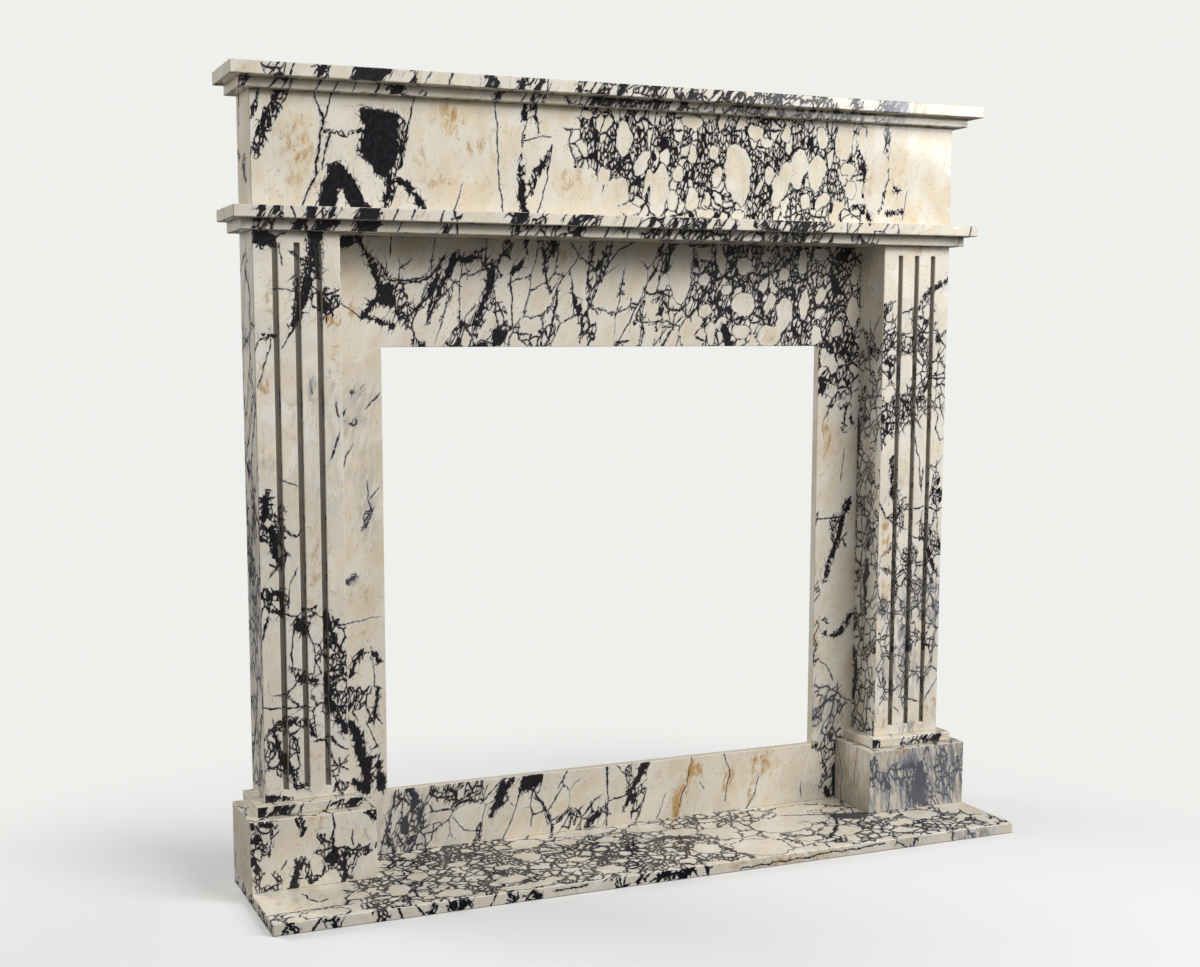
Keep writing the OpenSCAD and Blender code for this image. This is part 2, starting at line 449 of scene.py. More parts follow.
def makeMarble(name, tone):
    marble = bpy.data.materials.new(name)
    marble.use_nodes = True
    tree = marble.node_tree
    shader = tree.nodes["Principled BSDF"]

    def plus(*values):
        total = values[0]
        for value in values[1:]:
            total = calc(tree, "ADD", total, value)
        return total

    def times(a, b):
        return calc(tree, "MULTIPLY", a, b)

    def minus(a, b):
        return calc(tree, "SUBTRACT", a, b)

    def least(*values):
        total = values[0]
        for value in values[1:]:
            total = calc(tree, "MINIMUM", total, value)
        return total

    def tint(name):
        return colourOf(*tone[name])

    stone = readLayer(tree, "stone")
    crumb, stain, haze = splitUp(tree, readLayer(tree, "growth"))
    ink, clast, sawn = splitUp(tree, readLayer(tree, "shapes"))
    across, half, paintedFluteShade = splitUp(tree, readLayer(tree, "vein"))

    bent = shove(tree, stone, 55, 11)
    place = shove(tree, bent, 12, 2.4, 3)
    lively = cloud(tree, stone, 30, 3)[0]
    shaky = cloud(tree, stone, 5.5, 2)[0]
    ragged = minus(cloud(tree, stone, 18, 2, 0.5)[0], 0.5)
    # seams swell and pinch
    vary = calc(tree, "MULTIPLY_ADD", shaky, 3.0 * tone["seamWidth"], -0.5 * tone["seamWidth"])
    crumbHere = times(crumb, calc(tree, "MULTIPLY_ADD", minus(lively, 0.5), tone["patchiness"], 1.0))

    # three sizes of fragment, the smaller ones crushed out of the larger; everything below is
    # the distance in mm to the nearest dark, under 0 inside it
    seamA = crackNet(tree, place, tone["clastSize"])
    placeB = vectorCalc(tree, "ADD", place, (31, 7, 0))
    seamB = crackNet(tree, placeB, tone["chipSize"])
    placeC = shove(tree, vectorCalc(tree, "MULTIPLY", stone, (1.0, 0.72, 1.0)), 7, 1.6, 2)
    seamC = crackNet(tree, placeC, tone["crumbSize"])
    luckA = fragment(tree, place, tone["clastSize"])[0]
    luckB = fragment(tree, placeB, tone["chipSize"])[0]
    luckC = fragment(tree, placeC, tone["crumbSize"])[0]
    # raises or drops whole fragments, so that broad shapes end along their edges
    jagged = plus(times(minus(luckC, 0.5), 5), times(minus(luckB, 0.5), 5))
    crushed = times(minus(crumbHere, 0.15), tone["clastSize"] * 0.9)
    outsideA = times(step(tree, minus(seamA, crushed), -1.0, 2.0), 12)
    outsideB = times(step(tree, minus(times(crumbHere, tone["crushing"]), luckB), 0.03, -0.03), 12)
    lineA = minus(seamA, times(vary, calc(tree, "MULTIPLY_ADD", crumbHere, 1.1, 0.45)))
    lineA = plus(lineA, times(step(tree, crumbHere, 0.22, 0.04), 4))
    lineB = plus(minus(seamB, times(vary, calc(tree, "MULTIPLY_ADD", crumbHere, 1.3, 0.3))), outsideA)
    lineC = minus(seamC, times(vary, calc(tree, "MULTIPLY_ADD", crumbHere, 0.6, tone["matrix"])))
    # some crumbs are black themselves
    lineC = minus(lineC, times(step(tree, luckC, tone["blackCrumbs"], tone["blackCrumbs"] - 0.03), 3))
    lineC = plus(lineC, outsideA, outsideB)
    away = least(lineA, lineB, lineC)

    # big fragments, listed one by one: clean inside, outlined by one seam
    clastHere = plus(clast, times(ragged, tone["clastWobble"]), times(jagged, 0.45))
    rim = minus(calc(tree, "ABSOLUTE", clastHere), times(vary, 0.7))
    rim = plus(rim, times(step(tree, crumbHere, 0.4, 0.15), tone["rimFade"]))
    away = least(calc(tree, "MAXIMUM", away, clastHere), rim)

    # single veins, with crumbs clinging to them
    off = calc(tree, "ABSOLUTE", plus(across, times(minus(cloud(tree, stone, 20, 3)[0], 0.5), 9)))
    line = minus(off, times(times(half, 0.85), vary))
    cling = plus(minus(seamC, 0.6), times(calc(tree, "MAXIMUM", line, 0), 0.4))
    cling = plus(cling, times(step(tree, half, 2.0, 0.9), 3))
    away = least(away, line, cling)

    # solid black, crumbling into fragments along its edge
    inkHere = plus(ink, times(ragged, tone["inkWobble"]), times(jagged, 0.8))
    deep = calc(tree, "MAXIMUM", inkHere, 0)
    grain = calc(tree, "MINIMUM", minus(seamC, 1.1), minus(seamB, 1.6))
    solid = calc(tree, "MAXIMUM", times(inkHere, -1.0), minus(grain, times(deep, 0.5)))
    outOfInk = calc(tree, "MAXIMUM", times(inkHere, -1.0), 0)
    fringe = plus(minus(seamC, 0.8), times(outOfInk, tone["fringeFade"]))
    shards = plus(minus(seamB, times(vary, 0.9)), times(outOfInk, tone["shardFade"]))
    away = least(away, solid, fringe, shards)
    dark = step(tree, away, 0.35, -0.35)

    # cream body: slow tone changes, one tint to a fragment, a paler cooler margin beside each seam
    slow = step(tree, cloud(tree, stone, 45, 3)[0], 0.35, 0.65)
    body = mixColour(tree, slow, tint("cream"), tint("ivory"))
    body = mixColour(tree, times(luckA, tone["tintShare"]), body, tint("shade"))
    margin = step(tree, away, tone["marginWidth"], 0.5)
    body = mixColour(tree, times(margin, 0.55), body, tint("margin"))
    body = mixColour(tree, times(times(luckC, crumbHere), 0.25), body, tint("crumbGrey"))
    halo = step(tree, away, tone["haloWidth"], 0.0)
    body = mixColour(tree, times(halo, 0.6), body, tint("halo"))

    # rusty stain, thin brown threads and pepper specks in the clear stone
    streaky = vectorCalc(tree, "MULTIPLY", bent, (1.0, 0.7, 1.0))
    rusty = cloud(tree, streaky, 11, 5, 0.7)[0]
    rust = step(tree, calc(tree, "MULTIPLY_ADD", stain, 0.1, rusty), 0.5, 0.78)
    rust = calc(tree, "MULTIPLY", rust, calc(tree, "MULTIPLY_ADD", stain, tone["staining"], tone["rust"]),
                clamp=True)
    body = mixColour(tree, rust, body, tint("ochre"))
    thread = step(tree, crackNet(tree, shove(tree, streaky, 20, 8), 40), 0.5, 0.1)
    thread = times(thread, step(tree, lively, 0.5, 0.62))
    body = mixColour(tree, times(thread, tone["threads"]), body, tint("threadBrown"))
    luckS, farS = fragment(tree, stone, 5.0)
    speck = times(times(step(tree, farS, 1.1, 0.4), step(tree, luckS, 0.72, 0.8)),
                  step(tree, rusty, 0.47, 0.6))
    speck = times(speck, calc(tree, "MULTIPLY_ADD", stain, 0.6, tone["specks"], clamp=True))
    body = mixColour(tree, speck, body, tint("speckBrown"))

    # blue-grey haze drawn out along the grain
    misty = cloud(tree, vectorCalc(tree, "MULTIPLY", stone, (1.0, 0.35, 1.0)), 8, 4, 0.65)[0]
    smoke = calc(tree, "MULTIPLY", haze, step(tree, misty, 0.36, 0.62), clamp=True)
    body = mixColour(tree, smoke, body, tint("smoke"))

    inkColour = mixColour(tree, step(tree, shaky, 0.3, 0.75), tint("black"), tint("blackTint"))
    faded = times(calc(tree, "MINIMUM", haze, 1.0), 0.75)
    inkColour = mixColour(tree, faded, inkColour, tint("fadedBlack"))
    colour = mixColour(tree, dark, body, inkColour)
    # painted shade inside the flutes, a dark brown where their depth lies in shade
    colour = mixColour(tree, times(paintedFluteShade, 0.55), colour, tint("paintedFluteShade"))
    dusty = mixColour(tree, 0.45, colour, tint("dust"))
    colour = mixColour(tree, sawn, colour, dusty)
    tree.links.new(colour, shader.inputs["Base Color"])

    polish = calc(tree, "MULTIPLY_ADD", lively, 0.14, tone["roughness"] - 0.07)
    polish = calc(tree, "MULTIPLY_ADD", dark, -0.03, polish)
    polish = calc(tree, "MULTIPLY_ADD", paintedFluteShade, 0.3, polish)
    plug(tree, shader.inputs["Roughness"], calc(tree, "MULTIPLY_ADD", sawn, 0.45, polish, clamp=True))

    relief = calc(tree, "MULTIPLY_ADD", dark, -0.25, times(shaky, 0.12))
    sawLines = tree.nodes.new("ShaderNodeTexWave")
    sawLines.inputs["Scale"].default_value = 0.09
    sawLines.inputs["Distortion"].default_value = 1.5
    tree.links.new(stone, sawLines.inputs["Vector"])
    relief = calc(tree, "MULTIPLY_ADD", times(sawLines.outputs["Fac"], sawn), 1.2, relief)
    bump = tree.nodes.new("ShaderNodeBump")
    bump.inputs["Distance"].default_value = 0.3 * mm
    bump.inputs["Strength"].default_value = 0.35
    tree.links.new(relief, bump.inputs["Height"])
    tree.links.new(bump.outputs[0], shader.inputs["Normal"])
    shader.inputs["Specular IOR Level"].default_value = tone["shine"]
    return marble


# What every stone starts from: colours as seen on screen, sizes in mm, shares from 0 to 1. Clasts
# are the big fragments, chips the middling ones and crumbs the smallest. Crushing is the share of
# chips that are broken into crumbs, and matrix is how thick the black between crumbs is.
baseTone = {
    "cream": (228, 215, 192), "ivory": (236, 230, 216), "shade": (214, 203, 182),
    "margin": (225, 222, 215), "halo": (140, 138, 138), "crumbGrey": (186, 180, 170),
    "black": (24, 23, 26), "blackTint": (40, 38, 43), "fadedBlack": (104, 106, 115),
    "ochre": (188, 152, 102), "threadBrown": (138, 124, 106), "speckBrown": (104, 78, 56),
    "smoke": (128, 131, 140), "paintedFluteShade": (70, 65, 56), "dust": (176, 170, 158),
    "clastSize": 44, "chipSize": 17, "crumbSize": 6.6, "clastWobble": 15, "inkWobble": 10, "rimFade": 4,
    "marginWidth": 9.0, "haloWidth": 1.8, "fringeFade": 1.6, "shardFade": 0.17,
    "seamWidth": 1.0, "matrix": 0.42, "crushing": 0.74, "patchiness": 1.3, "blackCrumbs": 0.12,
    "tintShare": 0.5, "rust": 0.12, "staining": 0.85, "threads": 0.35, "specks": 0.7,
    "roughness": 0.2, "shine": 0.5,
}

# What grows on each face. Crumb is how far the stone is crumbled all over, and crumbs, stains and haze
# are soft spots of more or less. Bundles are strokes of crumbling, clasts are big clean fragments, and
# ink and patches are solid black. Lean, stretch and offset slant, draw out and shift the grain.
# Clasts are (u, v, half width, half height, turn in degrees) and soft spots have an amount after that.
# Points of a stroke or vein are (u, v, half width). u and v are mm from the lower left corner.
friezeFront = {
    "lean": 0.1, "stretch": 1.6,
    "crumbs": [
        (590, 125, 55, 60, 0, 0.8), (700, 90, 90, 110, 0, 0.75), (815, 90, 40, 120, 0, 0.6),
        (900, 90, 60, 120, 0, 0.75), (1000, 90, 60, 120, 0, 0.62), (1090, 80, 45, 110, 0, 0.3)],
    "bundles": [
        [(58, 177, 6), (40, 150, 10), (22, 115, 11), (8, 80, 8)],
        [(16, 177, 3), (8, 150, 4), (2, 130, 3)], [(120, 118, 3), (150, 115, 4), (178, 122, 5)],
        [(243, 145, 4), (249, 120, 7), (240, 80, 7), (230, 45, 4)],
        [(470, 177, 6), (475, 150, 4), (482, 132, 3)],
        [(455, 177, 3), (452, 130, 3), (447, 90, 4), (447, 60, 5), (450, 30, 9), (456, 0, 12)],
        [(502, 110, 2), (486, 82, 7), (470, 60, 7), (462, 30, 8)],
        [(1045, 177, 2), (1046, 100, 4), (1046, 60, 6), (1038, 20, 5)],
        [(1088, 177, 3), (1092, 140, 5), (1102, 100, 8), (1108, 80, 6), (1106, 50, 2)],
        [(1060, 20, 4), (1095, 30, 6), (1112, 30, 5), (1122, 8, 6)],
        [(1155, 177, 8), (1156, 140, 4), (1160, 100, 2), (1150, 50, 3), (1140, 20, 4)],
        [(1165, 80, 2), (1176, 62, 7), (1186, 58, 4)], [(1158, 20, 5), (1188, 25, 6)]],
    "clasts": [
        (520, 84, 19, 40, -6), (536, 28, 40, 52, 0), (545, 150, 13, 10, 0), (563, 165, 11, 9, 0),
        (633, 130, 16, 30, 0), (596, 68, 13, 15, -20), (620, 42, 25, 24, 0), (642, 13, 24, 9, 0),
        (668, 92, 13, 22, -28), (700, 46, 18, 44, -6), (676, 56, 6, 24, -15), (762, 162, 22, 13, 0),
        (736, 76, 11, 13, 0), (763, 108, 7, 18, 0), (726, 30, 13, 17, 0), (762, 34, 13, 19, 0),
        (788, 10, 18, 9, 0), (805, 114, 9, 13, 0), (811, 74, 8, 19, -20), (851, 80, 27, 52, 4),
        (851, 8, 15, 8, 0), (886, 152, 17, 13, 0), (908, 134, 12, 9, 0), (938, 64, 15, 42, -16),
        (946, 150, 9, 15, -20), (972, 92, 17, 36, -8), (1010, 86, 17, 33, -4), (986, 36, 9, 14, 0),
        (1022, 38, 19, 10, 30), (1020, 146, 12, 20, 0), (1064, 142, 19, 32, 0), (1130, 132, 20, 42, 0),
        (1126, 56, 20, 40, 8), (1078, 60, 14, 16, 0), (1074, 96, 14, 12, 0)],
    "ink": [
        [(448, 84, 1), (449, 50, 3), (451, 20, 5), (455, 0, 6)], [(474, 158, 2.5), (480, 132, 1)],
        [(456, 177, 2), (453, 150, 1.5)], [(30, 150, 2), (20, 120, 3.5), (10, 100, 2)],
        [(486, 84, 2.5), (476, 66, 2)], [(1104, 100, 3), (1108, 84, 2)],
        [(1156, 160, 2), (1155, 130, 1)], [(1120, 12, 3), (1100, 28, 2)],
        [(222, 60, 6), (224, 40, 7), (217, 14, 4), (212, 0, 2)],
        [(235, 47, 3), (252, 40, 3), (263, 26, 4), (280, 2, 1.5)],
        [(45, 176, 2), (24, 120, 3), (18, 94, 1.5)]],
    "patches": [
        [(178, 155), (205, 153), (240, 147), (240, 118), (238, 90), (228, 60), (214, 50), (200, 54),
         (190, 75), (172, 88), (178, 120)],
        [(102, 0), (116, 38), (128, 68), (148, 70), (160, 50), (175, 22), (190, 0), (161, 0), (150, 20),
         (142, 33), (136, 20), (132, 0)]],
    "veins": [
        [(102, 177, 1.4), (110, 152, 1.6), (116, 136, 2), (110, 100, 1.8), (101, 48, 2), (80, 0, 1.6)],
        [(130, 177, 1), (116, 136, 1.6)], [(126, 118, 2), (112, 62, 1.6)],
        [(266, 177, 1), (256, 140, 2), (244, 90, 2)],
        [(403, 177, 1.2), (407, 120, 0.9), (408, 50, 1.2), (416, 0, 1.5)],
        [(346, 46, 0.6), (330, 0, 1)], [(503, 110, 1.5), (492, 50, 1), (476, 0, 1)],
        [(215, 0, 0.8), (226, 22, 1), (236, 40, 1)], [(450, 118, 1), (500, 128, 1)],
        [(1200, 60, 0.5), (1190, 10, 0.8)]],
    "stains": [
        (100, 60, 30, 50, 0, 0.5), (75, 100, 20, 40, 0, 0.5), (320, 150, 20, 24, 0, 0.7),
        (400, 120, 12, 40, 0, 0.6), (250, 150, 20, 14, 0, 0.5), (540, 60, 30, 20, 0, 0.6),
        (275, 85, 14, 18, 0, 0.7), (305, 45, 28, 14, 0, 0.8), (365, 105, 18, 14, 0, 0.9),
        (330, 140, 22, 26, 0, 0.5), (385, 45, 12, 12, 0, 0.6), (55, 90, 26, 70, 0, 0.4),
        (1114, 72, 14, 20, 0, 0.9), (1185, 80, 20, 40, 0, 0.4), (440, 135, 6, 6, 0, 0.8),
        (620, 38, 10, 8, 0, 0.6), (530, 40, 20, 20, 0, 0.4)],
}
friezeRest = {
    "crumb": 0.05, "offset": (300, 400),
    "crumbs": [(45, 65, 30, 12, 40, 0.6)],
    "bundles": [[(5, 90, 4), (60, 45, 7)], [(15, 130, 3), (20, 177, 5)]],
}
friezeLook = {
    "step": 4, "arris": 1.5, "chips": 5, "seed": 11, "hollow": True,
    "tone": {
        "roughness": 0.07, "shine": 0.28, "cream": (228, 213, 185), "crushing": 0.95, "seamWidth": 0.88,
        "crumbSize": 6.0},
    "faces": {"front": friezeFront, "rest": friezeRest},
}


def shifted(growth, right, up):
    # the same growth, laid out from another corner
    moved = dict(growth)
    for kind in ("crumbs", "bundles", "clasts", "ink", "patches", "veins", "stains", "haze"):
        items = growth.get(kind, [])
        if kind in ("crumbs", "clasts", "stains", "haze"):
            moved[kind] = [(i[0] + right, i[1] + up) + tuple(i[2:]) for i in items]
        else:
            moved[kind] = [[(p[0] + right, p[1] + up) + tuple(p[2:]) for p in path] for path in items]
    return moved


def joined(*growths):
    # several growths on one face
    total = dict(growths[0])
    for growth in growths[1:]:
        for kind, items in growth.items():
            total[kind] = total.get(kind, []) + items
    return total


header = {
    "crumbs": [
        (300, 90, 260, 110, 0, 0.25), (620, 60, 90, 90, 0, 0.25), (125, 65, 13, 36, 10, 0.85),
        (240, 20, 16, 20, 0, 0.5), (790, 95, 105, 110, 0, 0.8), (700, 70, 26, 90, 0, 0.6),
        (905, 80, 60, 120, 0, 0.8), (985, 90, 40, 120, 0, 0.8), (465, 22, 14, 24, 0, 0.85),
        (735, 150, 50, 40, 0, 0.5), (390, 170, 12, 18, 0, 0.7)],
    "bundles": [
        [(65, 150, 3), (78, 138, 5), (100, 118, 8), (115, 105, 6), (125, 104, 5)],
        [(145, 8, 6), (162, 3, 8)], [(262, 155, 12), (274, 140, 12), (285, 120, 11)],
        [(205, 0, 8), (224, 18, 14), (245, 35, 14), (262, 50, 11)],
        [(290, 72, 12), (300, 55, 12), (301, 34, 9)],
        [(284, 114, 11), (300, 130, 12), (311, 150, 9), (313, 176, 9)],
        [(336, 20, 3), (360, 10, 14), (384, 18, 14), (394, 32, 8)],
        [(382, 165, 8), (383, 125, 6), (389, 96, 3)],
        [(471, 180, 6), (468, 140, 6), (462, 100, 6), (467, 50, 6), (470, 30, 9)],
        [(470, 25, 8), (452, 40, 5)], [(506, 180, 6), (500, 150, 6), (486, 120, 6), (471, 88, 5)],
        [(492, 160, 5), (478, 134, 5)], [(520, 2, 8), (534, 2, 11)],
        [(550, 40, 5), (560, 55, 6), (569, 78, 3)],
        [(628, 180, 9), (614, 150, 11), (605, 120, 9), (599, 104, 6)],
        [(602, 100, 5), (601, 60, 6), (594, 28, 3)], [(604, 180, 5), (598, 150, 6), (586, 122, 5)],
        [(662, 180, 3), (672, 152, 5), (690, 140, 6), (706, 152, 5), (722, 180, 5)],
        [(665, 110, 5), (676, 100, 8), (690, 96, 6)], [(668, 60, 5), (672, 30, 6), (680, 8, 8)]],
    "clasts": [
        (640, 128, 22, 52, 0), (690, 164, 17, 12, 0), (722, 152, 9, 30, 10), (770, 141, 17, 17, 0),
        (768, 74, 25, 22, 0), (691, 64, 14, 13, 0), (686, 118, 13, 12, 30), (702, 22, 10, 20, 0),
        (724, 38, 8, 13, 0), (765, 28, 20, 13, 0), (822, 18, 22, 22, 0), (820, 76, 11, 20, -25),
        (854, 56, 18, 32, -14), (895, 76, 11, 30, -4), (930, 60, 13, 8, 30), (930, 90, 11, 15, 0),
        (891, 152, 11, 22, 0), (930, 168, 18, 11, 0), (966, 30, 14, 15, 0), (1000, 62, 13, 28, 0),
        (300, 97, 12, 22, 0), (262, 84, 8, 17, -20), (158, 38, 11, 30, 0), (152, 80, 10, 18, -15),
        (920, 20, 12, 18, 0), (850, 130, 11, 14, 0), (815, 160, 9, 10, 0), (1003, 130, 10, 18, 0),
        (735, 100, 10, 8, 0)],
    "ink": [
        [(22, 170, 9), (44, 178, 7)], [(50, 180, 5), (66, 150, 4), (80, 120, 5), (86, 102, 5)],
        [(76, 72, 4), (62, 57, 3), (53, 50, 2)], [(53, 50, 1.5), (86, 42, 3), (108, 35, 6)],
        [(168, 40, 2), (178, 65, 4), (190, 92, 5), (206, 122, 5), (217, 150, 5), (224, 158, 2)],
        [(148, 60, 3), (169, 82, 6), (181, 104, 5), (190, 130, 2.5), (202, 150, 3)],
        [(216, 150, 4), (240, 145, 6), (262, 152, 3)], [(250, 40, 7), (262, 58, 6), (266, 64, 4)],
        [(264, 60, 5), (276, 90, 6), (284, 116, 6), (286, 144, 3)],
        [(320, 122, 2), (335, 140, 5), (345, 156, 3), (349, 180, 3)],
        [(432, 95, 1.5), (440, 76, 5), (447, 55, 6), (452, 40, 4), (448, 20, 1.5)],
        [(740, 164, 4), (745, 132, 4)], [(730, 30, 6), (740, 5, 8)], [(800, 92, 6), (808, 62, 4)],
        [(954, 132, 8), (966, 98, 9)], [(970, 162, 6), (990, 172, 7)], [(620, 170, 3), (610, 130, 4)],
        [(666, 160, 2), (676, 140, 3)], [(742, 60, 3), (756, 48, 4)], [(868, 40, 3), (880, 20, 5)],
        [(270, 2, 6), (252, 0, 5)]],
    "patches": [
        [(80, 105), (112, 102), (112, 68), (98, 64), (75, 72), (82, 90)],
        [(285, 0), (283, 28), (300, 33), (316, 28), (306, 10), (298, 0)]],
    "veins": [
        [(107, 180, 1.4), (106, 150, 0.8)],
        [(112, 110, 1.5), (150, 108, 2), (174, 115, 2), (188, 132, 2), (200, 152, 2)],
        [(150, 60, 1.5), (140, 30, 1.5), (150, 10, 1.5)],
        [(318, 118, 1.6), (320, 60, 1.4), (322, 25, 1.6), (348, 22, 2)],
        [(378, 177, 1.5), (383, 120, 2), (390, 92, 2), (405, 108, 1)],
        [(404, 104, 1.2), (401, 70, 3), (395, 40, 2), (389, 10, 1.6)],
        [(515, 0, 1.4), (540, 40, 1.5), (565, 90, 1), (588, 130, 1), (602, 152, 1)],
        [(498, 140, 1), (520, 166, 1.4), (548, 180, 1.4)],
        [(562, 55, 1.4), (568, 28, 2), (564, 0, 1.5)],
        [(606, 80, 2), (616, 68, 2.5), (640, 62, 2.4), (656, 76, 1.6), (668, 112, 1.6)],
        [(604, 0, 2), (625, 30, 2), (646, 52, 1.2)], [(20, 72, 0.8), (52, 50, 1)],
        [(656, 50, 1.4), (680, 78, 1.6)]],
    "stains": [
        (40, 60, 16, 12, -30, 0.9), (245, 145, 16, 14, 0, 0.8), (420, 150, 16, 14, 0, 0.7),
        (820, 22, 16, 16, 0, 0.7), (620, 78, 16, 12, 0, 0.6), (560, 140, 8, 16, 0, 0.5),
        (215, 66, 10, 16, 0, 0.4), (140, 150, 30, 16, 0, 0.4)],
}

jambLeft = {
    "crumbs": [(60, 480, 11, 38, -10, 0.42), (45, 160, 34, 18, 0, 0.6), (45, 640, 30, 60, 0, 0.10)],
    "bundles": [
        [(22, 178, 6), (40, 180, 6), (52, 175, 4), (60, 178, 6), (74, 178, 4)],
        [(35, 160, 4), (42, 172, 4)]],
    "clasts": [(62, 95, 12, 16, 0), (63, 68, 9, 8, 0)],
    "ink": [
        [(25, 200, 1.5), (32, 222, 3), (45, 240, 4), (56, 243, 2)],
        [(62, 240, 4), (70, 235, 3), (75, 225, 1.5)],
        [(20, 130, 2), (28, 115, 7), (38, 100, 8), (40, 80, 7), (46, 60, 7), (52, 40, 8), (52, 5, 9)],
        [(30, 22, 5), (46, 8, 8)], [(74, 52, 3), (76, 30, 5), (78, 5, 7)], [(54, 60, 2), (72, 62, 2)],
        [(68, 140, 3), (62, 122, 3)], [(36, 678, 2), (41, 676, 2)], [(22, 646, 2), (16, 640, 2)],
        [(38, 629, 2), (34, 627, 2)], [(22, 362, 3), (35, 370, 2)], [(60, 447, 2), (56, 450, 2)]],
    "veins": [
        [(84, 674, 1.2), (68, 660, 1.6), (60, 650, 1)],
        [(20, 555, 0.8), (28, 576, 1.4), (38, 592, 0.6)], [(52, 684, 1.4), (57, 690, 0.6)],
        [(20, 292, 0.8), (45, 297, 0.6), (80, 302, 0.4)], [(66, 230, 0.8), (68, 180, 0.8)],
        [(36, 165, 1.5), (30, 140, 1.5), (38, 128, 1.6)],
        [(55, 175, 1.8), (52, 150, 1.5), (62, 126, 2.5)],
        [(73, 180, 2.6), (72, 160, 2.6), (67, 136, 2), (80, 118, 1.5)],
        [(54, 120, 1.5), (60, 105, 1), (71, 80, 1.5), (60, 74, 1)],
        [(62, 530, 0.8), (60, 500, 1.4), (68, 484, 1.6), (58, 452, 1.6)],
        [(80, 520, 0.8), (64, 500, 1.2)]],
    "stains": [(50, 340, 34, 20, 0, 0.5), (80, 600, 8, 30, 0, 0.5), (50, 270, 30, 14, 0, 0.5)],
    "haze": [
        (45, 650, 32, 50, -30, 0.35), (60, 480, 16, 50, 0, 0.4), (30, 365, 14, 8, 0, 0.6),
        (50, 560, 30, 40, 0, 0.25)],
}

jambRight = {
    "crumbs": [
        (40, 712, 60, 60, 0, 0.75), (30, 60, 50, 55, 0, 0.55), (20, 430, 34, 16, 0, 0.3),
        (50, 390, 22, 60, 0, 0.3), (60, 620, 40, 30, 0, 0.3), (5, 330, 8, 60, 0, 0.4),
        (5, 200, 8, 60, 0, 0.4)],
    "bundles": [[(10, 60, 5), (30, 80, 6), (52, 86, 5)], [(18, 20, 6), (40, 38, 5)]],
    "clasts": [(10, 730, 9, 18, 0), (30, 716, 10, 22, 0), (28, 668, 12, 12, 0)],
    "ink": [
        [(5, 690, 3), (12, 675, 7), (6, 664, 4)],
        [(22, 312, 2), (30, 340, 3), (42, 372, 5), (56, 420, 6), (72, 462, 4)],
        [(34, 350, 2), (26, 335, 2)], [(25, 236, 2), (28, 228, 1.5)],
        [(84, 246, 3), (68, 224, 4), (56, 208, 4), (36, 205, 2), (22, 215, 1.5)],
        [(60, 642, 2), (64, 636, 3)], [(72, 616, 2), (76, 608, 3)], [(48, 640, 1.5), (50, 634, 1.5)]],
    "veins": [
        [(0, 430, 1), (25, 429, 1.5), (48, 431, 2)], [(30, 425, 1.5), (38, 404, 2.5)],
        [(10, 165, 0.6), (30, 150, 1), (45, 120, 1)], [(60, 560, 0.8), (52, 500, 0.8)]],
    "stains": [
        (20, 590, 12, 50, 0, 0.9), (5, 325, 9, 26, 0, 0.9), (8, 220, 9, 50, 0, 0.8),
        (50, 560, 30, 50, 0, 0.3)],
    "haze": [(30, 55, 46, 48, 0, 0.6)],
}

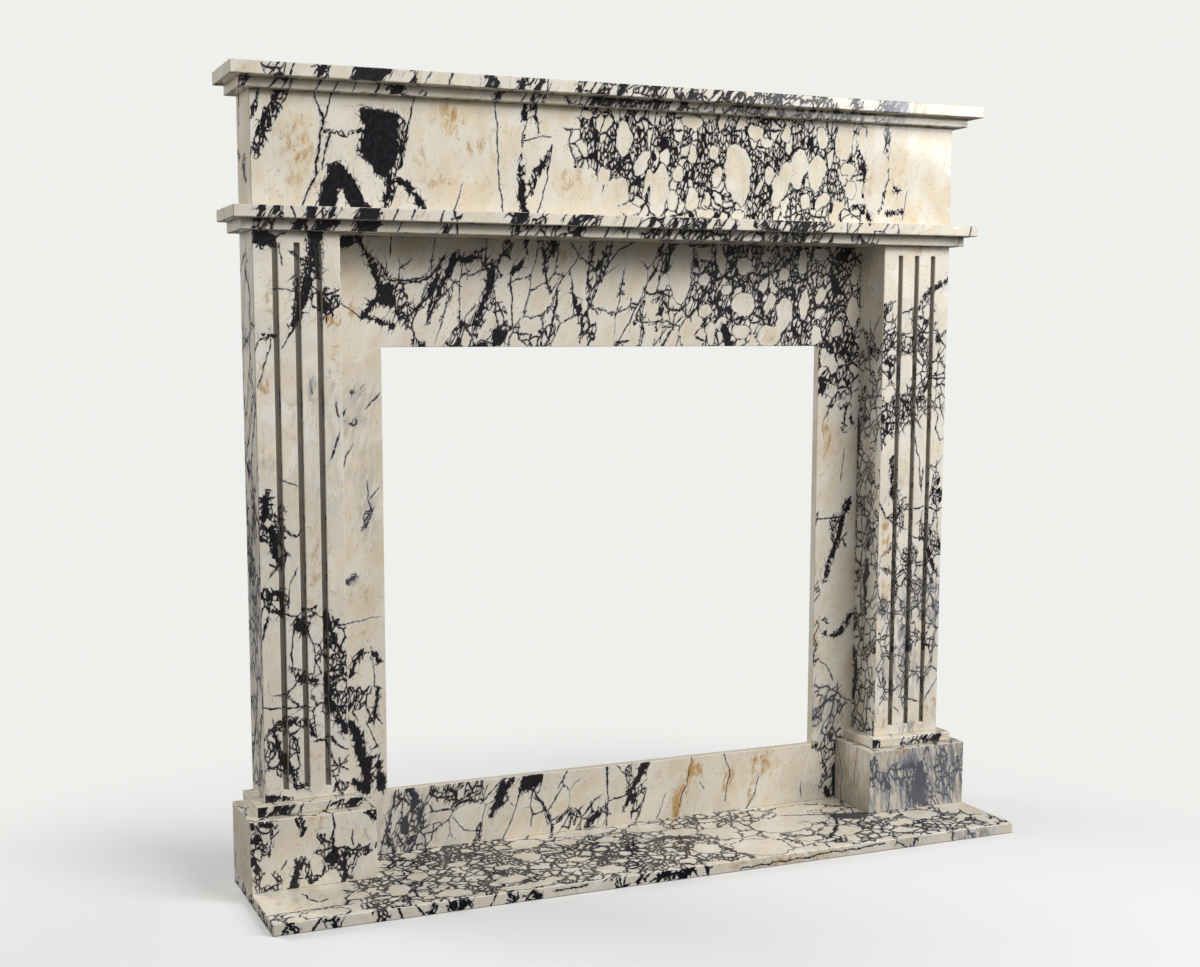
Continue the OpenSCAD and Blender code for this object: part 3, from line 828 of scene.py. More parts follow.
rail = {
    "crumbs": [
        (215, 95, 34, 20, 0, 0.8), (990, 60, 44, 70, 0, 0.6), (130, 30, 30, 50, 0, 0.7),
        (350, 95, 40, 24, 0, 0.4), (460, 20, 40, 24, 0, 0.4), (555, 60, 24, 60, 0, 0.4),
        (190, 60, 120, 60, 0, 0.22), (420, 50, 90, 60, 0, 0.2)],
    "bundles": [
        [(108, 111, 4), (113, 90, 8), (128, 75, 11), (145, 62, 8)],
        [(118, 50, 10), (130, 20, 11), (124, 0, 11)],
        [(182, 98, 4), (200, 80, 8), (235, 80, 7), (258, 111, 6)], [(92, 60, 4), (84, 20, 6)],
        [(255, 30, 4), (250, 8, 7)], [(168, 111, 6), (172, 85, 7), (168, 65, 4)],
        [(400, 18, 4), (420, 34, 7), (430, 28, 4), (424, 5, 4)],
        [(352, 111, 4), (366, 70, 7), (376, 50, 4)], [(548, 60, 11), (556, 35, 8), (556, 10, 8)]],
    "ink": [
        [(127, 111, 7), (138, 92, 6), (133, 72, 6)], [(330, 82, 2), (345, 90, 6), (362, 104, 12)],
        [(457, 3, 2), (474, 18, 9), (492, 32, 5)],
        [(578, 111, 6), (563, 84, 6), (549, 60, 4), (540, 36, 2)], [(548, 60, 5), (556, 40, 5)],
        [(150, 70, 4), (146, 62, 3)], [(122, 58, 5), (118, 36, 6)], [(98, 0, 4), (86, 28, 2)],
        [(984, 60, 10), (986, 10, 10)], [(934, 108, 5), (950, 104, 4)], [(962, 22, 4), (966, 6, 4)]],
    "patches": [
        [(275, 42), (290, 56), (303, 62), (309, 92), (322, 108), (298, 106), (284, 74)],
        [(338, 84), (368, 88), (374, 108), (336, 111), (330, 96)]],
    "veins": [
        [(640, 0, 0.8), (660, 60, 1), (672, 111, 0.8)],
        [(740, 111, 0.8), (752, 70, 1.2), (742, 20, 0.8)], [(300, 0, 1), (318, 40, 1), (330, 78, 1.4)],
        [(520, 111, 1), (540, 90, 1.4), (560, 84, 1.6)],
        [(258, 70, 1.2), (280, 90, 1.4), (300, 111, 1)], [(72, 0, 2), (88, 50, 2), (104, 111, 2)],
        [(165, 64, 1.6), (200, 66, 1.4), (262, 92, 2)], [(205, 50, 0.5), (226, 26, 1), (252, 20, 1)],
        [(362, 74, 2), (376, 50, 2), (390, 20, 3), (392, 0, 3)],
        [(500, 111, 2), (503, 60, 1.6), (500, 0, 1.4)], [(503, 46, 1.2), (530, 52, 1.4), (548, 62, 2)],
        [(425, 111, 1), (415, 94, 1.4), (404, 80, 0.6)], [(372, 60, 1), (384, 16, 1), (405, 30, 1)],
        [(815, 60, 0.8), (808, 30, 1.2), (788, 0, 1)], [(690, 62, 0.6), (698, 48, 0.8)],
        [(600, 3, 0.8), (612, 30, 0.6), (618, 46, 1)], [(905, 40, 0.5), (908, 10, 1)],
        [(980, 111, 2), (984, 60, 2.4)]],
    "stains": [
        (650, 45, 14, 50, -22, 1.3), (680, 85, 18, 24, 0, 1.1), (610, 84, 9, 12, 0, 0.9),
        (750, 62, 14, 28, -10, 1.2), (818, 88, 24, 26, 0, 1.2), (800, 30, 12, 24, 0, 0.9),
        (860, 70, 10, 20, 0, 0.6), (640, 12, 9, 14, 0, 1.2), (560, 90, 8, 14, 0, 0.5)],
    "haze": [(940, 30, 30, 30, 0, 0.2), (120, 50, 60, 60, 0, 0.4)],
}
# where those four lie on the panel, in mm from its lower left corner
panelLap = 14         # hidden behind the left pilaster
openingFoot = 111
openingTop = 862
rightJamb = 942
panelFront = joined({"lean": 0.28, "stretch": 1.6},
                    shifted(header, panelLap, openingTop),
                    shifted(jambLeft, panelLap, openingFoot),
                    shifted(jambRight, rightJamb, openingFoot),
                    shifted(rail, panelLap, 0))
panelLook = {
    "step": 4, "arris": 1.2, "chips": 3, "seed": 23,
    "tone": {
        "rust": 0.16, "crushing": 0.8, "matrix": 0.3, "seamWidth": 0.9, "crumbSize": 7.2,
        "blackCrumbs": 0.05, "cream": (224, 210, 187), "ivory": (231, 225, 210),
        "shade": (208, 197, 175)},
    "faces": {"front": panelFront, "rest": {"crumb": 0.12}},
}

pilasterLeftFront = {
    "lean": 0.05, "stretch": 1.3, "crumb": 0.05,
    "crumbs": [
        (115, 795, 26, 24, 0, 0.7), (22, 430, 26, 48, 0, 0.7), (116, 165, 27, 42, 0, 0.85),
        (128, 240, 18, 44, 0, 0.45), (98, 262, 36, 46, 0, 0.3), (30, 80, 28, 48, 0, 0.5),
        (126, 45, 20, 44, 0, 0.3), (84, 850, 30, 60, 0, 0.25), (20, 320, 24, 30, 0, 0.35),
        (50, 180, 50, 34, 0, 0.16)],
    "bundles": [
        [(86, 862, 8), (78, 820, 9), (68, 785, 9)], [(112, 820, 5), (128, 810, 5), (139, 800, 5)],
        [(15, 500, 8), (12, 470, 12), (24, 440, 15), (30, 400, 13), (35, 378, 5)],
        [(0, 335, 5), (20, 335, 9), (38, 330, 9)], [(70, 310, 4), (85, 312, 5), (98, 318, 3)],
        [(80, 300, 3), (99, 306, 4), (108, 285, 5), (115, 260, 7), (138, 232, 5)],
        [(15, 118, 5), (35, 130, 7), (60, 128, 7), (80, 120, 7), (81, 104, 4)],
        [(45, 120, 5), (52, 100, 5), (55, 78, 3)], [(14, 112, 5), (12, 78, 4)],
        [(122, 20, 4), (140, 17, 5)], [(100, 306, 3), (106, 260, 5), (104, 230, 4)]],
    "clasts": [
        (90, 276, 14, 24, 0), (92, 172, 11, 15, 0), (130, 182, 8, 12, 0), (116, 150, 6, 9, 0),
        (110, 112, 12, 14, 0)],
    "ink": [
        [(101, 908, 11), (98, 872, 9), (104, 840, 6)],
        [(96, 870, 6), (90, 840, 7), (80, 804, 7), (72, 776, 5), (61, 762, 2)],
        [(12, 748, 1.5), (32, 745, 2.5)], [(67, 835, 2), (70, 805, 3)],
        [(10, 492, 5), (12, 470, 5), (6, 454, 3)],
        [(20, 445, 4), (28, 425, 7), (24, 405, 4), (33, 385, 3)],
        [(14, 342, 3), (34, 336, 4), (38, 306, 4)], [(12, 316, 4), (30, 307, 3)],
        [(108, 300, 2), (115, 270, 5), (121, 250, 4), (137, 232, 2)],
        [(48, 212, 2), (64, 200, 5), (80, 196, 4), (100, 195, 3), (140, 200, 4)],
        [(106, 200, 3), (109, 160, 4), (119, 134, 5), (131, 118, 4), (138, 104, 3)],
        [(28, 126, 3), (50, 130, 2), (75, 122, 3)],
        [(18, 115, 2), (22, 95, 4), (28, 75, 7), (38, 55, 7), (47, 42, 4), (51, 25, 2.5), (72, 20, 2)],
        [(0, 5, 5), (20, 6, 5), (38, 2, 3)], [(80, 119, 3), (82, 104, 3)]],
    "patches": [
        [(0, 887), (20, 885), (38, 889), (38, 898), (22, 908), (0, 908)],
        [(52, 290), (60, 296), (76, 292), (78, 275), (68, 268), (58, 275)]],
    "veins": [
        [(66, 764, 1.6), (55, 745, 1.4), (44, 728, 1)], [(0, 722, 1), (6, 738, 1.2), (24, 746, 1.2)],
        [(25, 742, 1), (24, 722, 1.2), (10, 690, 1), (4, 668, 1)], [(32, 818, 0.8), (66, 817, 0.8)],
        [(38, 896, 1.2), (52, 905, 1.2)], [(42, 888, 0.8), (46, 856, 1)],
        [(134, 592, 1), (125, 566, 2), (118, 550, 0.8)],
        [(44, 310, 0.8), (47, 350, 0.8), (62, 378, 0.8)],
        [(39, 304, 1.4), (60, 302, 1), (72, 310, 1.4)], [(10, 300, 2.5), (2, 268, 1.5)],
        [(55, 290, 1.4), (50, 260, 1.2), (47, 214, 1.2)],
        [(76, 276, 1.2), (85, 250, 1), (88, 228, 1.2), (96, 206, 1.5)],
        [(0, 155, 1.6), (40, 152, 1.6), (78, 152, 1)],
        [(85, 95, 1.8), (110, 98, 2), (121, 85, 1.5), (139, 75, 1.5)],
        [(105, 92, 1.6), (110, 70, 1.8), (120, 50, 1.5), (139, 40, 1.4)],
        [(40, 440, 2), (60, 430, 2.2), (70, 438, 1.6)], [(88, 678, 0.6), (90, 656, 1)],
        [(130, 640, 1.2), (132, 618, 1.2)], [(40, 520, 0.8), (64, 508, 0.8)]],
    "stains": [
        (122, 768, 26, 12, 15, 1.3), (25, 800, 8, 30, 0, 0.9), (14, 678, 10, 34, 0, 0.9),
        (12, 560, 12, 18, 0, 0.7), (92, 380, 24, 70, 0, 0.6), (80, 60, 18, 24, 0, 0.5),
        (60, 600, 14, 60, 0, 0.5), (124, 690, 12, 40, 0, 0.5), (60, 470, 20, 26, 0, 0.4),
        (90, 880, 20, 20, 0, 0.5)],
    "haze": [
        (90, 668, 6, 22, 0, 0.5), (110, 620, 30, 60, 0, 0.22), (110, 500, 26, 50, 0, 0.22),
        (20, 545, 20, 10, 0, 0.3)],
}
pilasterLeftWest = {
    "crumb": 0.2, "lean": 0.1, "stretch": 2.2, "offset": (700, 300),
    "crumbs": [(46, 350, 46, 190, 0, 0.36), (46, 700, 46, 110, 0, 0.16), (46, 60, 46, 80, 0, 0.2)],
    "haze": [(46, 340, 46, 190, 0, 0.5), (46, 800, 46, 80, 0, 0.25)],
    "bundles": [[(20, 880, 4), (60, 820, 5)], [(70, 480, 5), (40, 380, 6), (30, 240, 4)]],
    "stains": [(40, 620, 30, 60, 0, 0.5), (50, 120, 30, 60, 0, 0.5)],
}
pilasterLeftLook = {
    "step": 4, "arris": 1.5, "chips": 4, "seed": 9, "hollow": True,
    "tone": {"cream": (240, 228, 206), "ivory": (244, 238, 226)},
    "faces": {"front": pilasterLeftFront, "west": pilasterLeftWest,
              "rest": {"crumb": 0.16, "stretch": 1.9, "offset": (1300, 0)}},
}

pilasterRightFront = {
    "lean": 0.05, "stretch": 1.3, "crumb": 0.1,
    "crumbs": [
        (10, 755, 17, 45, 0, 0.7), (80, 765, 30, 34, 0, 0.5), (52, 615, 30, 28, 0, 0.75),
        (10, 590, 18, 42, 0, 0.7), (60, 735, 60, 34, 0, 0.35), (112, 670, 34, 60, 0, 0.5),
        (10, 690, 16, 24, 0, 0.6), (70, 660, 60, 60, 0, 0.15), (45, 430, 26, 30, 0, 0.4),
        (110, 340, 30, 70, 0, 0.4), (125, 470, 18, 50, 0, 0.3), (70, 220, 70, 100, 0, 0.36),
        (60, 100, 70, 50, 0, 0.24), (40, 330, 30, 60, 0, 0.16)],
    "bundles": [
        [(3, 800, 3), (8, 780, 5), (13, 755, 5), (18, 738, 5), (8, 722, 3)],
        [(30, 735, 4), (45, 724, 3), (60, 730, 4), (75, 748, 5), (90, 776, 3)],
        [(68, 790, 4), (85, 770, 6), (95, 752, 3)],
        [(70, 706, 5), (80, 700, 4), (90, 730, 4), (85, 746, 3)],
        [(10, 702, 5), (20, 690, 5), (25, 680, 3), (15, 668, 3)],
        [(105, 692, 5), (115, 676, 6), (126, 664, 6), (139, 658, 5)],
        [(75, 690, 5), (80, 670, 5), (66, 650, 4), (60, 638, 4)],
        [(118, 752, 3), (126, 745, 4), (139, 755, 3)], [(25, 590, 3), (40, 590, 4), (56, 600, 5)],
        [(120, 842, 3), (139, 850, 5)], [(45, 432, 5), (42, 412, 5), (50, 400, 4)],
        [(92, 370, 4), (105, 386, 4), (108, 360, 5), (115, 340, 6), (125, 315, 5), (136, 298, 3)],
        [(58, 350, 4), (62, 330, 5), (65, 300, 3)],
        [(45, 292, 3), (52, 265, 4), (60, 230, 4), (70, 215, 4), (75, 190, 5), (80, 165, 4)],
        [(85, 300, 4), (95, 285, 5), (100, 260, 5), (98, 230, 3)],
        [(115, 280, 4), (125, 255, 5), (136, 225, 5), (138, 200, 4)],
        [(10, 240, 4), (20, 225, 5), (30, 215, 3)], [(92, 116, 4), (100, 96, 5), (95, 78, 3)],
        [(128, 420, 3), (122, 402, 4), (130, 390, 3)], [(24, 520, 3), (28, 480, 5), (30, 445, 3)]],
    "clasts": [
        (45, 768, 17, 20, 0), (50, 690, 24, 22, 0), (112, 725, 14, 24, 0), (45, 650, 12, 10, 0),
        (108, 640, 14, 14, 0), (15, 640, 12, 16, 0), (20, 716, 10, 8, 0)],
    "ink": [
        [(138, 849, 2.5), (120, 838, 2), (106, 830, 4), (92, 815, 4), (80, 800, 4), (71, 790, 2)],
        [(27, 522, 1.5), (26, 502, 3), (33, 480, 4), (30, 455, 3), (32, 440, 2)],
        [(12, 698, 4), (22, 692, 2)], [(120, 743, 3), (123, 734, 3)],
        [(106, 386, 2), (110, 350, 3), (120, 325, 4), (132, 298, 2)], [(50, 620, 3), (60, 610, 3)],
        [(66, 740, 3), (74, 746, 3)], [(0, 598, 3), (8, 590, 3)]],
    "veins": [
        [(66, 797, 1.5), (56, 790, 1.8), (32, 786, 1.2), (20, 762, 1)],
        [(85, 642, 1.5), (90, 610, 1), (96, 600, 1)],
        [(110, 626, 1.5), (126, 600, 1), (120, 572, 1.4), (130, 552, 1.5), (139, 556, 1)],
        [(60, 590, 2), (72, 570, 2), (78, 545, 1.5), (85, 520, 1.2), (88, 490, 1.5), (92, 460, 1)],
        [(0, 440, 2.2), (15, 414, 2), (42, 410, 2)], [(56, 424, 1.4), (68, 440, 1.6)],
        [(70, 426, 2), (100, 430, 1.5), (130, 421, 2), (140, 430, 1.4)],
        [(96, 380, 1.8), (100, 366, 1.6), (75, 374, 1)], [(85, 350, 1.4), (75, 330, 1.4), (70, 300, 1)],
        [(0, 190, 1), (20, 150, 1), (8, 118, 0.8)], [(108, 58, 1), (124, 80, 1.2), (140, 102, 1)],
        [(75, 66, 1.8), (96, 60, 1.8)], [(95, 500, 1.6), (92, 466, 1.6)],
        [(125, 640, 1), (138, 590, 1)], [(40, 585, 1), (50, 570, 1)]],
    "stains": [
        (70, 900, 16, 8, 0, 0.9), (110, 900, 12, 6, 0, 0.7), (15, 380, 10, 46, 0, 1.0),
        (18, 270, 12, 34, 0, 0.9), (12, 30, 18, 24, 0, 0.8), (128, 48, 18, 22, 0, 0.9),
        (60, 480, 20, 40, 0, 0.4)],
    "haze": [
        (20, 235, 16, 22, 0, 0.7), (62, 210, 16, 60, 0, 0.8), (100, 280, 16, 44, 0, 0.6),
        (128, 245, 15, 50, 0, 0.8), (80, 10, 28, 12, 0, 0.7), (60, 120, 60, 50, 0, 0.5)],
}
pilasterRightWest = {
    "crumb": 0.5, "lean": 0.1, "stretch": 1.5, "offset": (700, 300),
    "crumbs": [(60, 850, 60, 90, 0, -0.42), (30, 420, 30, 90, 0, 0.2), (40, 120, 30, 80, 0, 0.2)],
    "ink": [
        [(10, 620, 3), (20, 560, 6), (18, 500, 3)], [(60, 330, 3), (50, 280, 6), (56, 230, 3)],
        [(20, 160, 3), (28, 110, 6), (20, 60, 3)]],
    "stains": [(40, 850, 40, 50, 0, 0.5), (30, 700, 20, 40, 0, 0.5), (60, 420, 20, 40, 0, 0.5)],
    "haze": [(40, 400, 40, 300, 0, 0.25)],
}
pilasterRightLook = {
    "step": 4, "arris": 1.5, "chips": 4, "seed": 10, "hollow": True,
    "tone": {"seamWidth": 0.75, "crumbSize": 5.6, "cream": (240, 228, 206), "ivory": (244, 238, 226)},
    "faces": {"front": pilasterRightFront, "west": pilasterRightWest,
              "rest": {"crumb": 0.2, "stretch": 1.9, "offset": (1300, 0)}},
}

plinthLeftFront = {
    "stretch": 1.3,
    "crumbs": [
        (14, 60, 16, 70, 0, 0.62), (30, 110, 18, 10, 0, 0.6), (172, 50, 20, 12, 0, 0.4),
        (155, 30, 16, 34, 0, 0.6), (200, 110, 16, 10, 0, 0.7)],
    "bundles": [
        [(80, 117, 7), (86, 100, 7), (82, 88, 4)],
        [(106, 95, 3), (112, 80, 6), (122, 70, 7), (140, 68, 7), (148, 58, 6)],
        [(122, 86, 4), (120, 72, 6)], [(75, 44, 6), (85, 46, 6), (92, 36, 4), (96, 10, 6)],
        [(98, 8, 4), (118, 24, 6), (140, 34, 7)], [(150, 56, 6), (160, 52, 6), (172, 46, 4)],
        [(190, 48, 6), (205, 56, 6)], [(36, 30, 4), (46, 16, 4), (38, 4, 6)]],
    "clasts": [(12, 62, 9, 11, 0), (40, 112, 10, 6, 0), (165, 34, 8, 10, -20)],
    "ink": [
        [(68, 2, 5), (73, 20, 5), (77, 38, 5)], [(112, 53, 3), (138, 54, 3)],
        [(152, 8, 5), (150, 28, 5), (155, 48, 3)], [(12, 92, 5), (8, 86, 5)],
        [(25, 78, 4), (20, 74, 3)], [(196, 112, 5), (208, 104, 6)], [(20, 112, 4), (36, 108, 4)],
        [(20, 4, 4), (34, 6, 4)]],
    "patches": [[(122, 54), (148, 50), (146, 36), (132, 30), (118, 40)]],
    "veins": [
        [(131, 76, 2), (138, 92, 1.5), (136, 117, 1)], [(167, 86, 0.8), (167, 60, 1)],
        [(50, 36, 1.5), (58, 46, 1.4)], [(36, 110, 1.6), (34, 80, 1.4), (28, 62, 1.6)],
        [(45, 98, 1.4), (34, 86, 1)], [(154, 56, 1.6), (178, 50, 1.6), (195, 58, 1.6)],
        [(174, 46, 1.2), (170, 34, 1.2), (160, 22, 1.4)]],
    "stains": [(110, 104, 16, 12, 0, 0.6), (190, 80, 16, 14, 0, 0.6), (110, 20, 14, 12, 0, 0.3)],
}
plinthLeftWest = {
    "lean": 0.3, "stretch": 1.5, "offset": (800, 0),
    "stains": [(60, 60, 60, 50, 0, 0.45)],
    "crumbs": [(20, 20, 24, 16, 0, 0.3)],
}
plinthLeftLook = {
    "step": 4, "arris": 1.5, "chips": 6, "seed": 5,
    "tone": {},
    "faces": {"front": plinthLeftFront, "west": plinthLeftWest,
              "rest": {"crumb": 0.25, "offset": (900, 300)}},
}

plinthRightFront = {
    "lean": -0.12, "stretch": 1.7, "crumb": 0.24,
    "crumbs": [
        (28, 62, 34, 14, 0, 0.4), (8, 85, 8, 20, 0, 0.5), (68, 70, 14, 20, 0, 0.4),
        (172, 60, 36, 60, 0, 0.34), (90, 50, 14, 40, 0, 0.35)],
    "bundles": [
        [(2, 60, 5), (16, 52, 6), (34, 52, 6), (44, 40, 3)],
        [(50, 84, 4), (58, 66, 5), (66, 56, 3), (84, 30, 3)],
        [(84, 80, 4), (92, 60, 6), (90, 30, 6), (100, 6, 6)],
        [(140, 80, 3), (152, 50, 4), (158, 10, 5)], [(6, 98, 4), (14, 80, 4)]],
    "clasts": [
        (34, 94, 17, 22, 0), (24, 20, 19, 20, 0), (64, 24, 20, 24, -10), (104, 100, 14, 14, 0),
        (136, 66, 8, 40, 18), (180, 90, 6, 22, 0)],
    "ink": [[(112, 76, 10), (112, 50, 13), (108, 24, 13), (126, 4, 8)], [(92, 84, 4), (100, 78, 5)]],
    "veins": [
        [(48, 84, 1.6), (40, 70, 1.6), (46, 44, 1.4), (42, 0, 1.4)], [(80, 50, 1.6), (88, 16, 2)]],
    "stains": [(72, 112, 16, 8, 0, 1.2), (20, 112, 12, 8, 0, 0.7), (60, 20, 12, 16, 0, 0.3)],
    # the haze here is partly the stone's grey veining and partly painted shade, darker low down where
    # less light falls
    "haze": [
        (112, 45, 26, 60, 0, 0.9), (176, 60, 36, 70, 0, 1.0), (90, 50, 20, 60, 0, 0.8),
        (30, 55, 60, 60, 0, 0.7), (100, 60, 120, 80, 0, 0.2)],
}
plinthRightWest = {
    "crumb": 0.1, "offset": (800, 0), "stretch": 1.6,
    # the stains and haze here are partly the stone's own and partly painted shade for this inner side in
    # the corner
    "stains": [(60, 60, 60, 60, 0, 0.6)],
    "haze": [(60, 60, 90, 90, 0, 0.35)],
    "veins": [[(20, 117, 1), (40, 60, 1), (36, 0, 1.2)], [(90, 117, 0.8), (80, 40, 1)]],
}
plinthRightLook = {
    "step": 4, "arris": 1.5, "chips": 6, "seed": 6,
    # the darker cream, ivory and margin are painted shade for this low plinth in the corner by the
    # opening
    "tone": {
        "seamWidth": 0.85, "chipSize": 14, "cream": (204, 192, 170), "ivory": (212, 205, 192),
        "margin": (206, 203, 196)},
    "faces": {"front": plinthRightFront, "west": plinthRightWest,
              "rest": {"crumb": 0.25, "offset": (900, 300)}},
}

hearthTop = {
    "stretch": 1.0, "lean": 0.15,
    "crumbs": [
        (10, 20, 26, 26, 0, 0.4), (190, 60, 46, 90, 0, 0.6), (330, 110, 110, 140, 0, 0.62),
        (520, 90, 110, 130, 0, 0.62), (680, 100, 90, 110, 0, 0.66), (360, 230, 130, 50, 0, 0.8),
        (640, 160, 60, 60, 0, 0.5), (790, 60, 60, 80, 0, 0.5), (800, 230, 100, 40, 0, 0.5),
        (880, 240, 60, 40, 0, 0.4), (930, 120, 60, 90, 0, 0.35), (1100, 60, 120, 70, 0, 0.55),
        (1240, 90, 80, 80, 0, 0.55), (1330, 20, 50, 40, 0, 0.4), (1080, 210, 140, 40, 0, 0.3)],
    "bundles": [
        [(0, 0, 5), (10, 26, 5), (50, 40, 3)], [(160, 160, 6), (165, 130, 8), (190, 110, 8)],
        [(128, 50, 4), (140, 80, 4), (170, 100, 5)], [(150, 30, 6), (175, 10, 8)],
        [(330, 50, 6), (400, 30, 5), (460, 48, 5)], [(600, 205, 5), (680, 206, 6), (740, 225, 3)],
        [(510, 240, 6), (520, 205, 6), (545, 185, 5)], [(555, 240, 6), (580, 262, 5)],
        [(805, 160, 4), (810, 60, 6), (830, 8, 8)], [(905, 190, 2), (915, 130, 4), (905, 100, 3)],
        [(938, 80, 4), (945, 40, 5), (975, 8, 4)], [(950, 90, 4), (1000, 60, 6), (1010, 25, 6)],
        [(1040, 60, 5), (1100, 40, 8), (1130, 60, 6)], [(1070, 10, 5), (1120, 40, 6)],
        [(1290, 150, 6), (1280, 90, 6), (1240, 50, 7), (1190, 30, 7)], [(1210, 110, 3), (1220, 60, 5)],
        [(1180, 10, 6), (1260, 8, 6)], [(860, 180, 4), (880, 220, 5), (900, 270, 4)],
        [(1110, 110, 6), (1140, 90, 8)], [(930, 240, 4), (1000, 255, 5)],
        [(240, 40, 5), (262, 90, 8), (250, 130, 5)]],
    "clasts": [
        (155, 78, 22, 15, 20), (222, 78, 22, 28, -20), (205, 20, 12, 12, 0), (408, 58, 28, 18, 10),
        (272, 128, 20, 20, 0), (478, 158, 24, 24, 0), (500, 222, 32, 26, 0), (90, 20, 40, 20, 0),
        (290, 236, 16, 22, 0), (420, 118, 20, 12, 0), (350, 165, 18, 12, 0), (570, 205, 24, 18, 0),
        (640, 190, 26, 14, 0), (620, 245, 60, 22, 0), (780, 80, 26, 30, 0), (872, 50, 54, 46, 0),
        (970, 150, 60, 46, 0), (1020, 170, 60, 40, 0), (1050, 225, 60, 24, 0), (720, 30, 20, 14, 0),
        (580, 40, 26, 22, 0), (470, 30, 24, 12, 0), (420, 18, 50, 16, 0), (300, 30, 30, 20, 0),
        (550, 110, 22, 12, 0), (735, 225, 40, 24, 0), (860, 225, 22, 10, 0), (780, 180, 34, 24, 0),
        (1050, 80, 40, 30, 0), (1160, 40, 26, 16, 0), (1180, 80, 26, 16, 20), (1240, 110, 34, 30, 0),
        (980, 60, 26, 14, 0), (700, 160, 18, 12, 0), (610, 75, 18, 12, 0), (520, 65, 16, 10, 0)],
    "ink": [
        [(700, 150, 6), (740, 160, 10), (780, 145, 10), (795, 135, 6)],
        [(1095, 158, 16), (1120, 148, 20), (1145, 150, 14)], [(1020, 150, 1.5), (1060, 120, 1.5)]],
    "veins": [
        [(76, 120, 0.8), (78, 90, 1), (92, 72, 1.6), (110, 82, 1)],
        [(1086, 150, 2), (1064, 110, 2), (1036, 76, 2), (1008, 50, 2.4)],
        [(0, 40, 0.6), (40, 42, 0.8), (140, 44, 0.8)], [(1000, 200, 1), (1100, 170, 2)],
        [(880, 220, 1), (905, 200, 1.5), (912, 150, 1.6)], [(640, 255, 0.8), (600, 270, 1)]],
    "stains": [
        (30, 100, 30, 40, 0, 0.4), (90, 60, 40, 40, 0, 0.5), (1000, 130, 30, 30, 0, 0.4),
        (560, 60, 20, 20, 0, 0.4)],
    "haze": [(1120, 150, 44, 30, 0, 0.4)],
}
hearthFront = {
    "stretch": 1.0,
    "crumbs": [
        (35, 10, 18, 20, 0, 0.5), (95, 10, 16, 20, 0, 0.6), (165, 10, 18, 20, 0, 0.5),
        (252, 10, 6, 20, 0, 0.7), (300, 10, 14, 20, 0, 0.8), (400, 10, 26, 20, 0, 0.55),
        (575, 10, 26, 20, 0, 0.6), (640, 14, 30, 14, 0, 0.8), (740, 12, 30, 12, 0, 0.5),
        (1140, 10, 30, 20, 0, 0.3), (1260, 10, 40, 20, 0, 0.3)],
    "ink": [
        [(650, 12, 5), (690, 8, 9), (710, 14, 6)], [(288, 10, 5), (310, 8, 6)],
        [(18, 2, 3), (30, 16, 4)], [(95, 4, 5), (102, 14, 4)], [(425, 10, 4), (432, 2, 4)],
        [(252, 0, 4), (254, 18, 3)]],
    "veins": [
        [(60, 0, 1), (75, 19, 1.2)], [(205, 0, 1.2), (198, 19, 1.6)], [(225, 19, 1), (240, 0, 1)],
        [(350, 0, 1), (360, 19, 1)], [(460, 10, 0.8), (520, 14, 0.8)],
        [(800, 4, 0.7), (1090, 14, 0.8)]],
    "stains": [(900, 10, 120, 14, 0, 0.9), (480, 10, 50, 12, 0, 0.4)],
    "haze": [(1280, 8, 46, 14, 0, 0.8), (1150, 10, 40, 14, 0, 0.4)],
}
hearthLook = {
    "step": 5.5, "arris": 1.5, "chips": 9, "seed": 3,
    "tone": {
        "clastSize": 42, "chipSize": 22, "crumbSize": 9, "seamWidth": 1.75, "cream": (236, 224, 202),
        "ivory": (241, 236, 224), "crushing": 0.34, "blackCrumbs": 0.06, "matrix": 0.34, "rimFade": 0,
        "clastWobble": 22, "shine": 0.3, "black": (16, 17, 24), "blackTint": (28, 31, 42)},
    "faces": {"top": hearthTop, "front": hearthFront, "rest": {"crumb": 0.4, "stretch": 1.0}},
}


def edgeStrip(height, blacks, dense, veins, stains=(), haze=()):
    # growth on the narrow front edge of a slab: (from, to) stretches along it in mm
    return {
        "lean": 0.5, "stretch": 1.6,
        "crumbs": [((a + b) / 2, height / 2, (b - a) / 2, height, 0, amount) for a, b, amount in dense],
        "ink": [[(a, 0, half), (b, height, half)] for a, b, half in blacks],
        "veins": [[(a, 0, 1.1), (b, height, 1.4)] for a, b in veins],
        "stains": [(u, height / 2, 16, height, 0, 0.6) for u in stains],
        "haze": [(u, height / 2, 24, height, 0, 0.8) for u in haze]}


hiddenSide = {"crumb": 0.3, "lean": 0.3, "stretch": 1.3}


def slabLook(seed, front, top=hiddenSide):
    # one of the thin slabs: its narrow front is set out, and its top where that shows
    west = {"crumb": 0.14, "stretch": 1.0, "lean": 0.4, "offset": (60, 0)}
    return {"step": 5, "arris": 1.5, "chips": 7, "seed": seed, "tone": {},
            "faces": {"front": front, "top": top, "west": west, "rest": hiddenSide}}


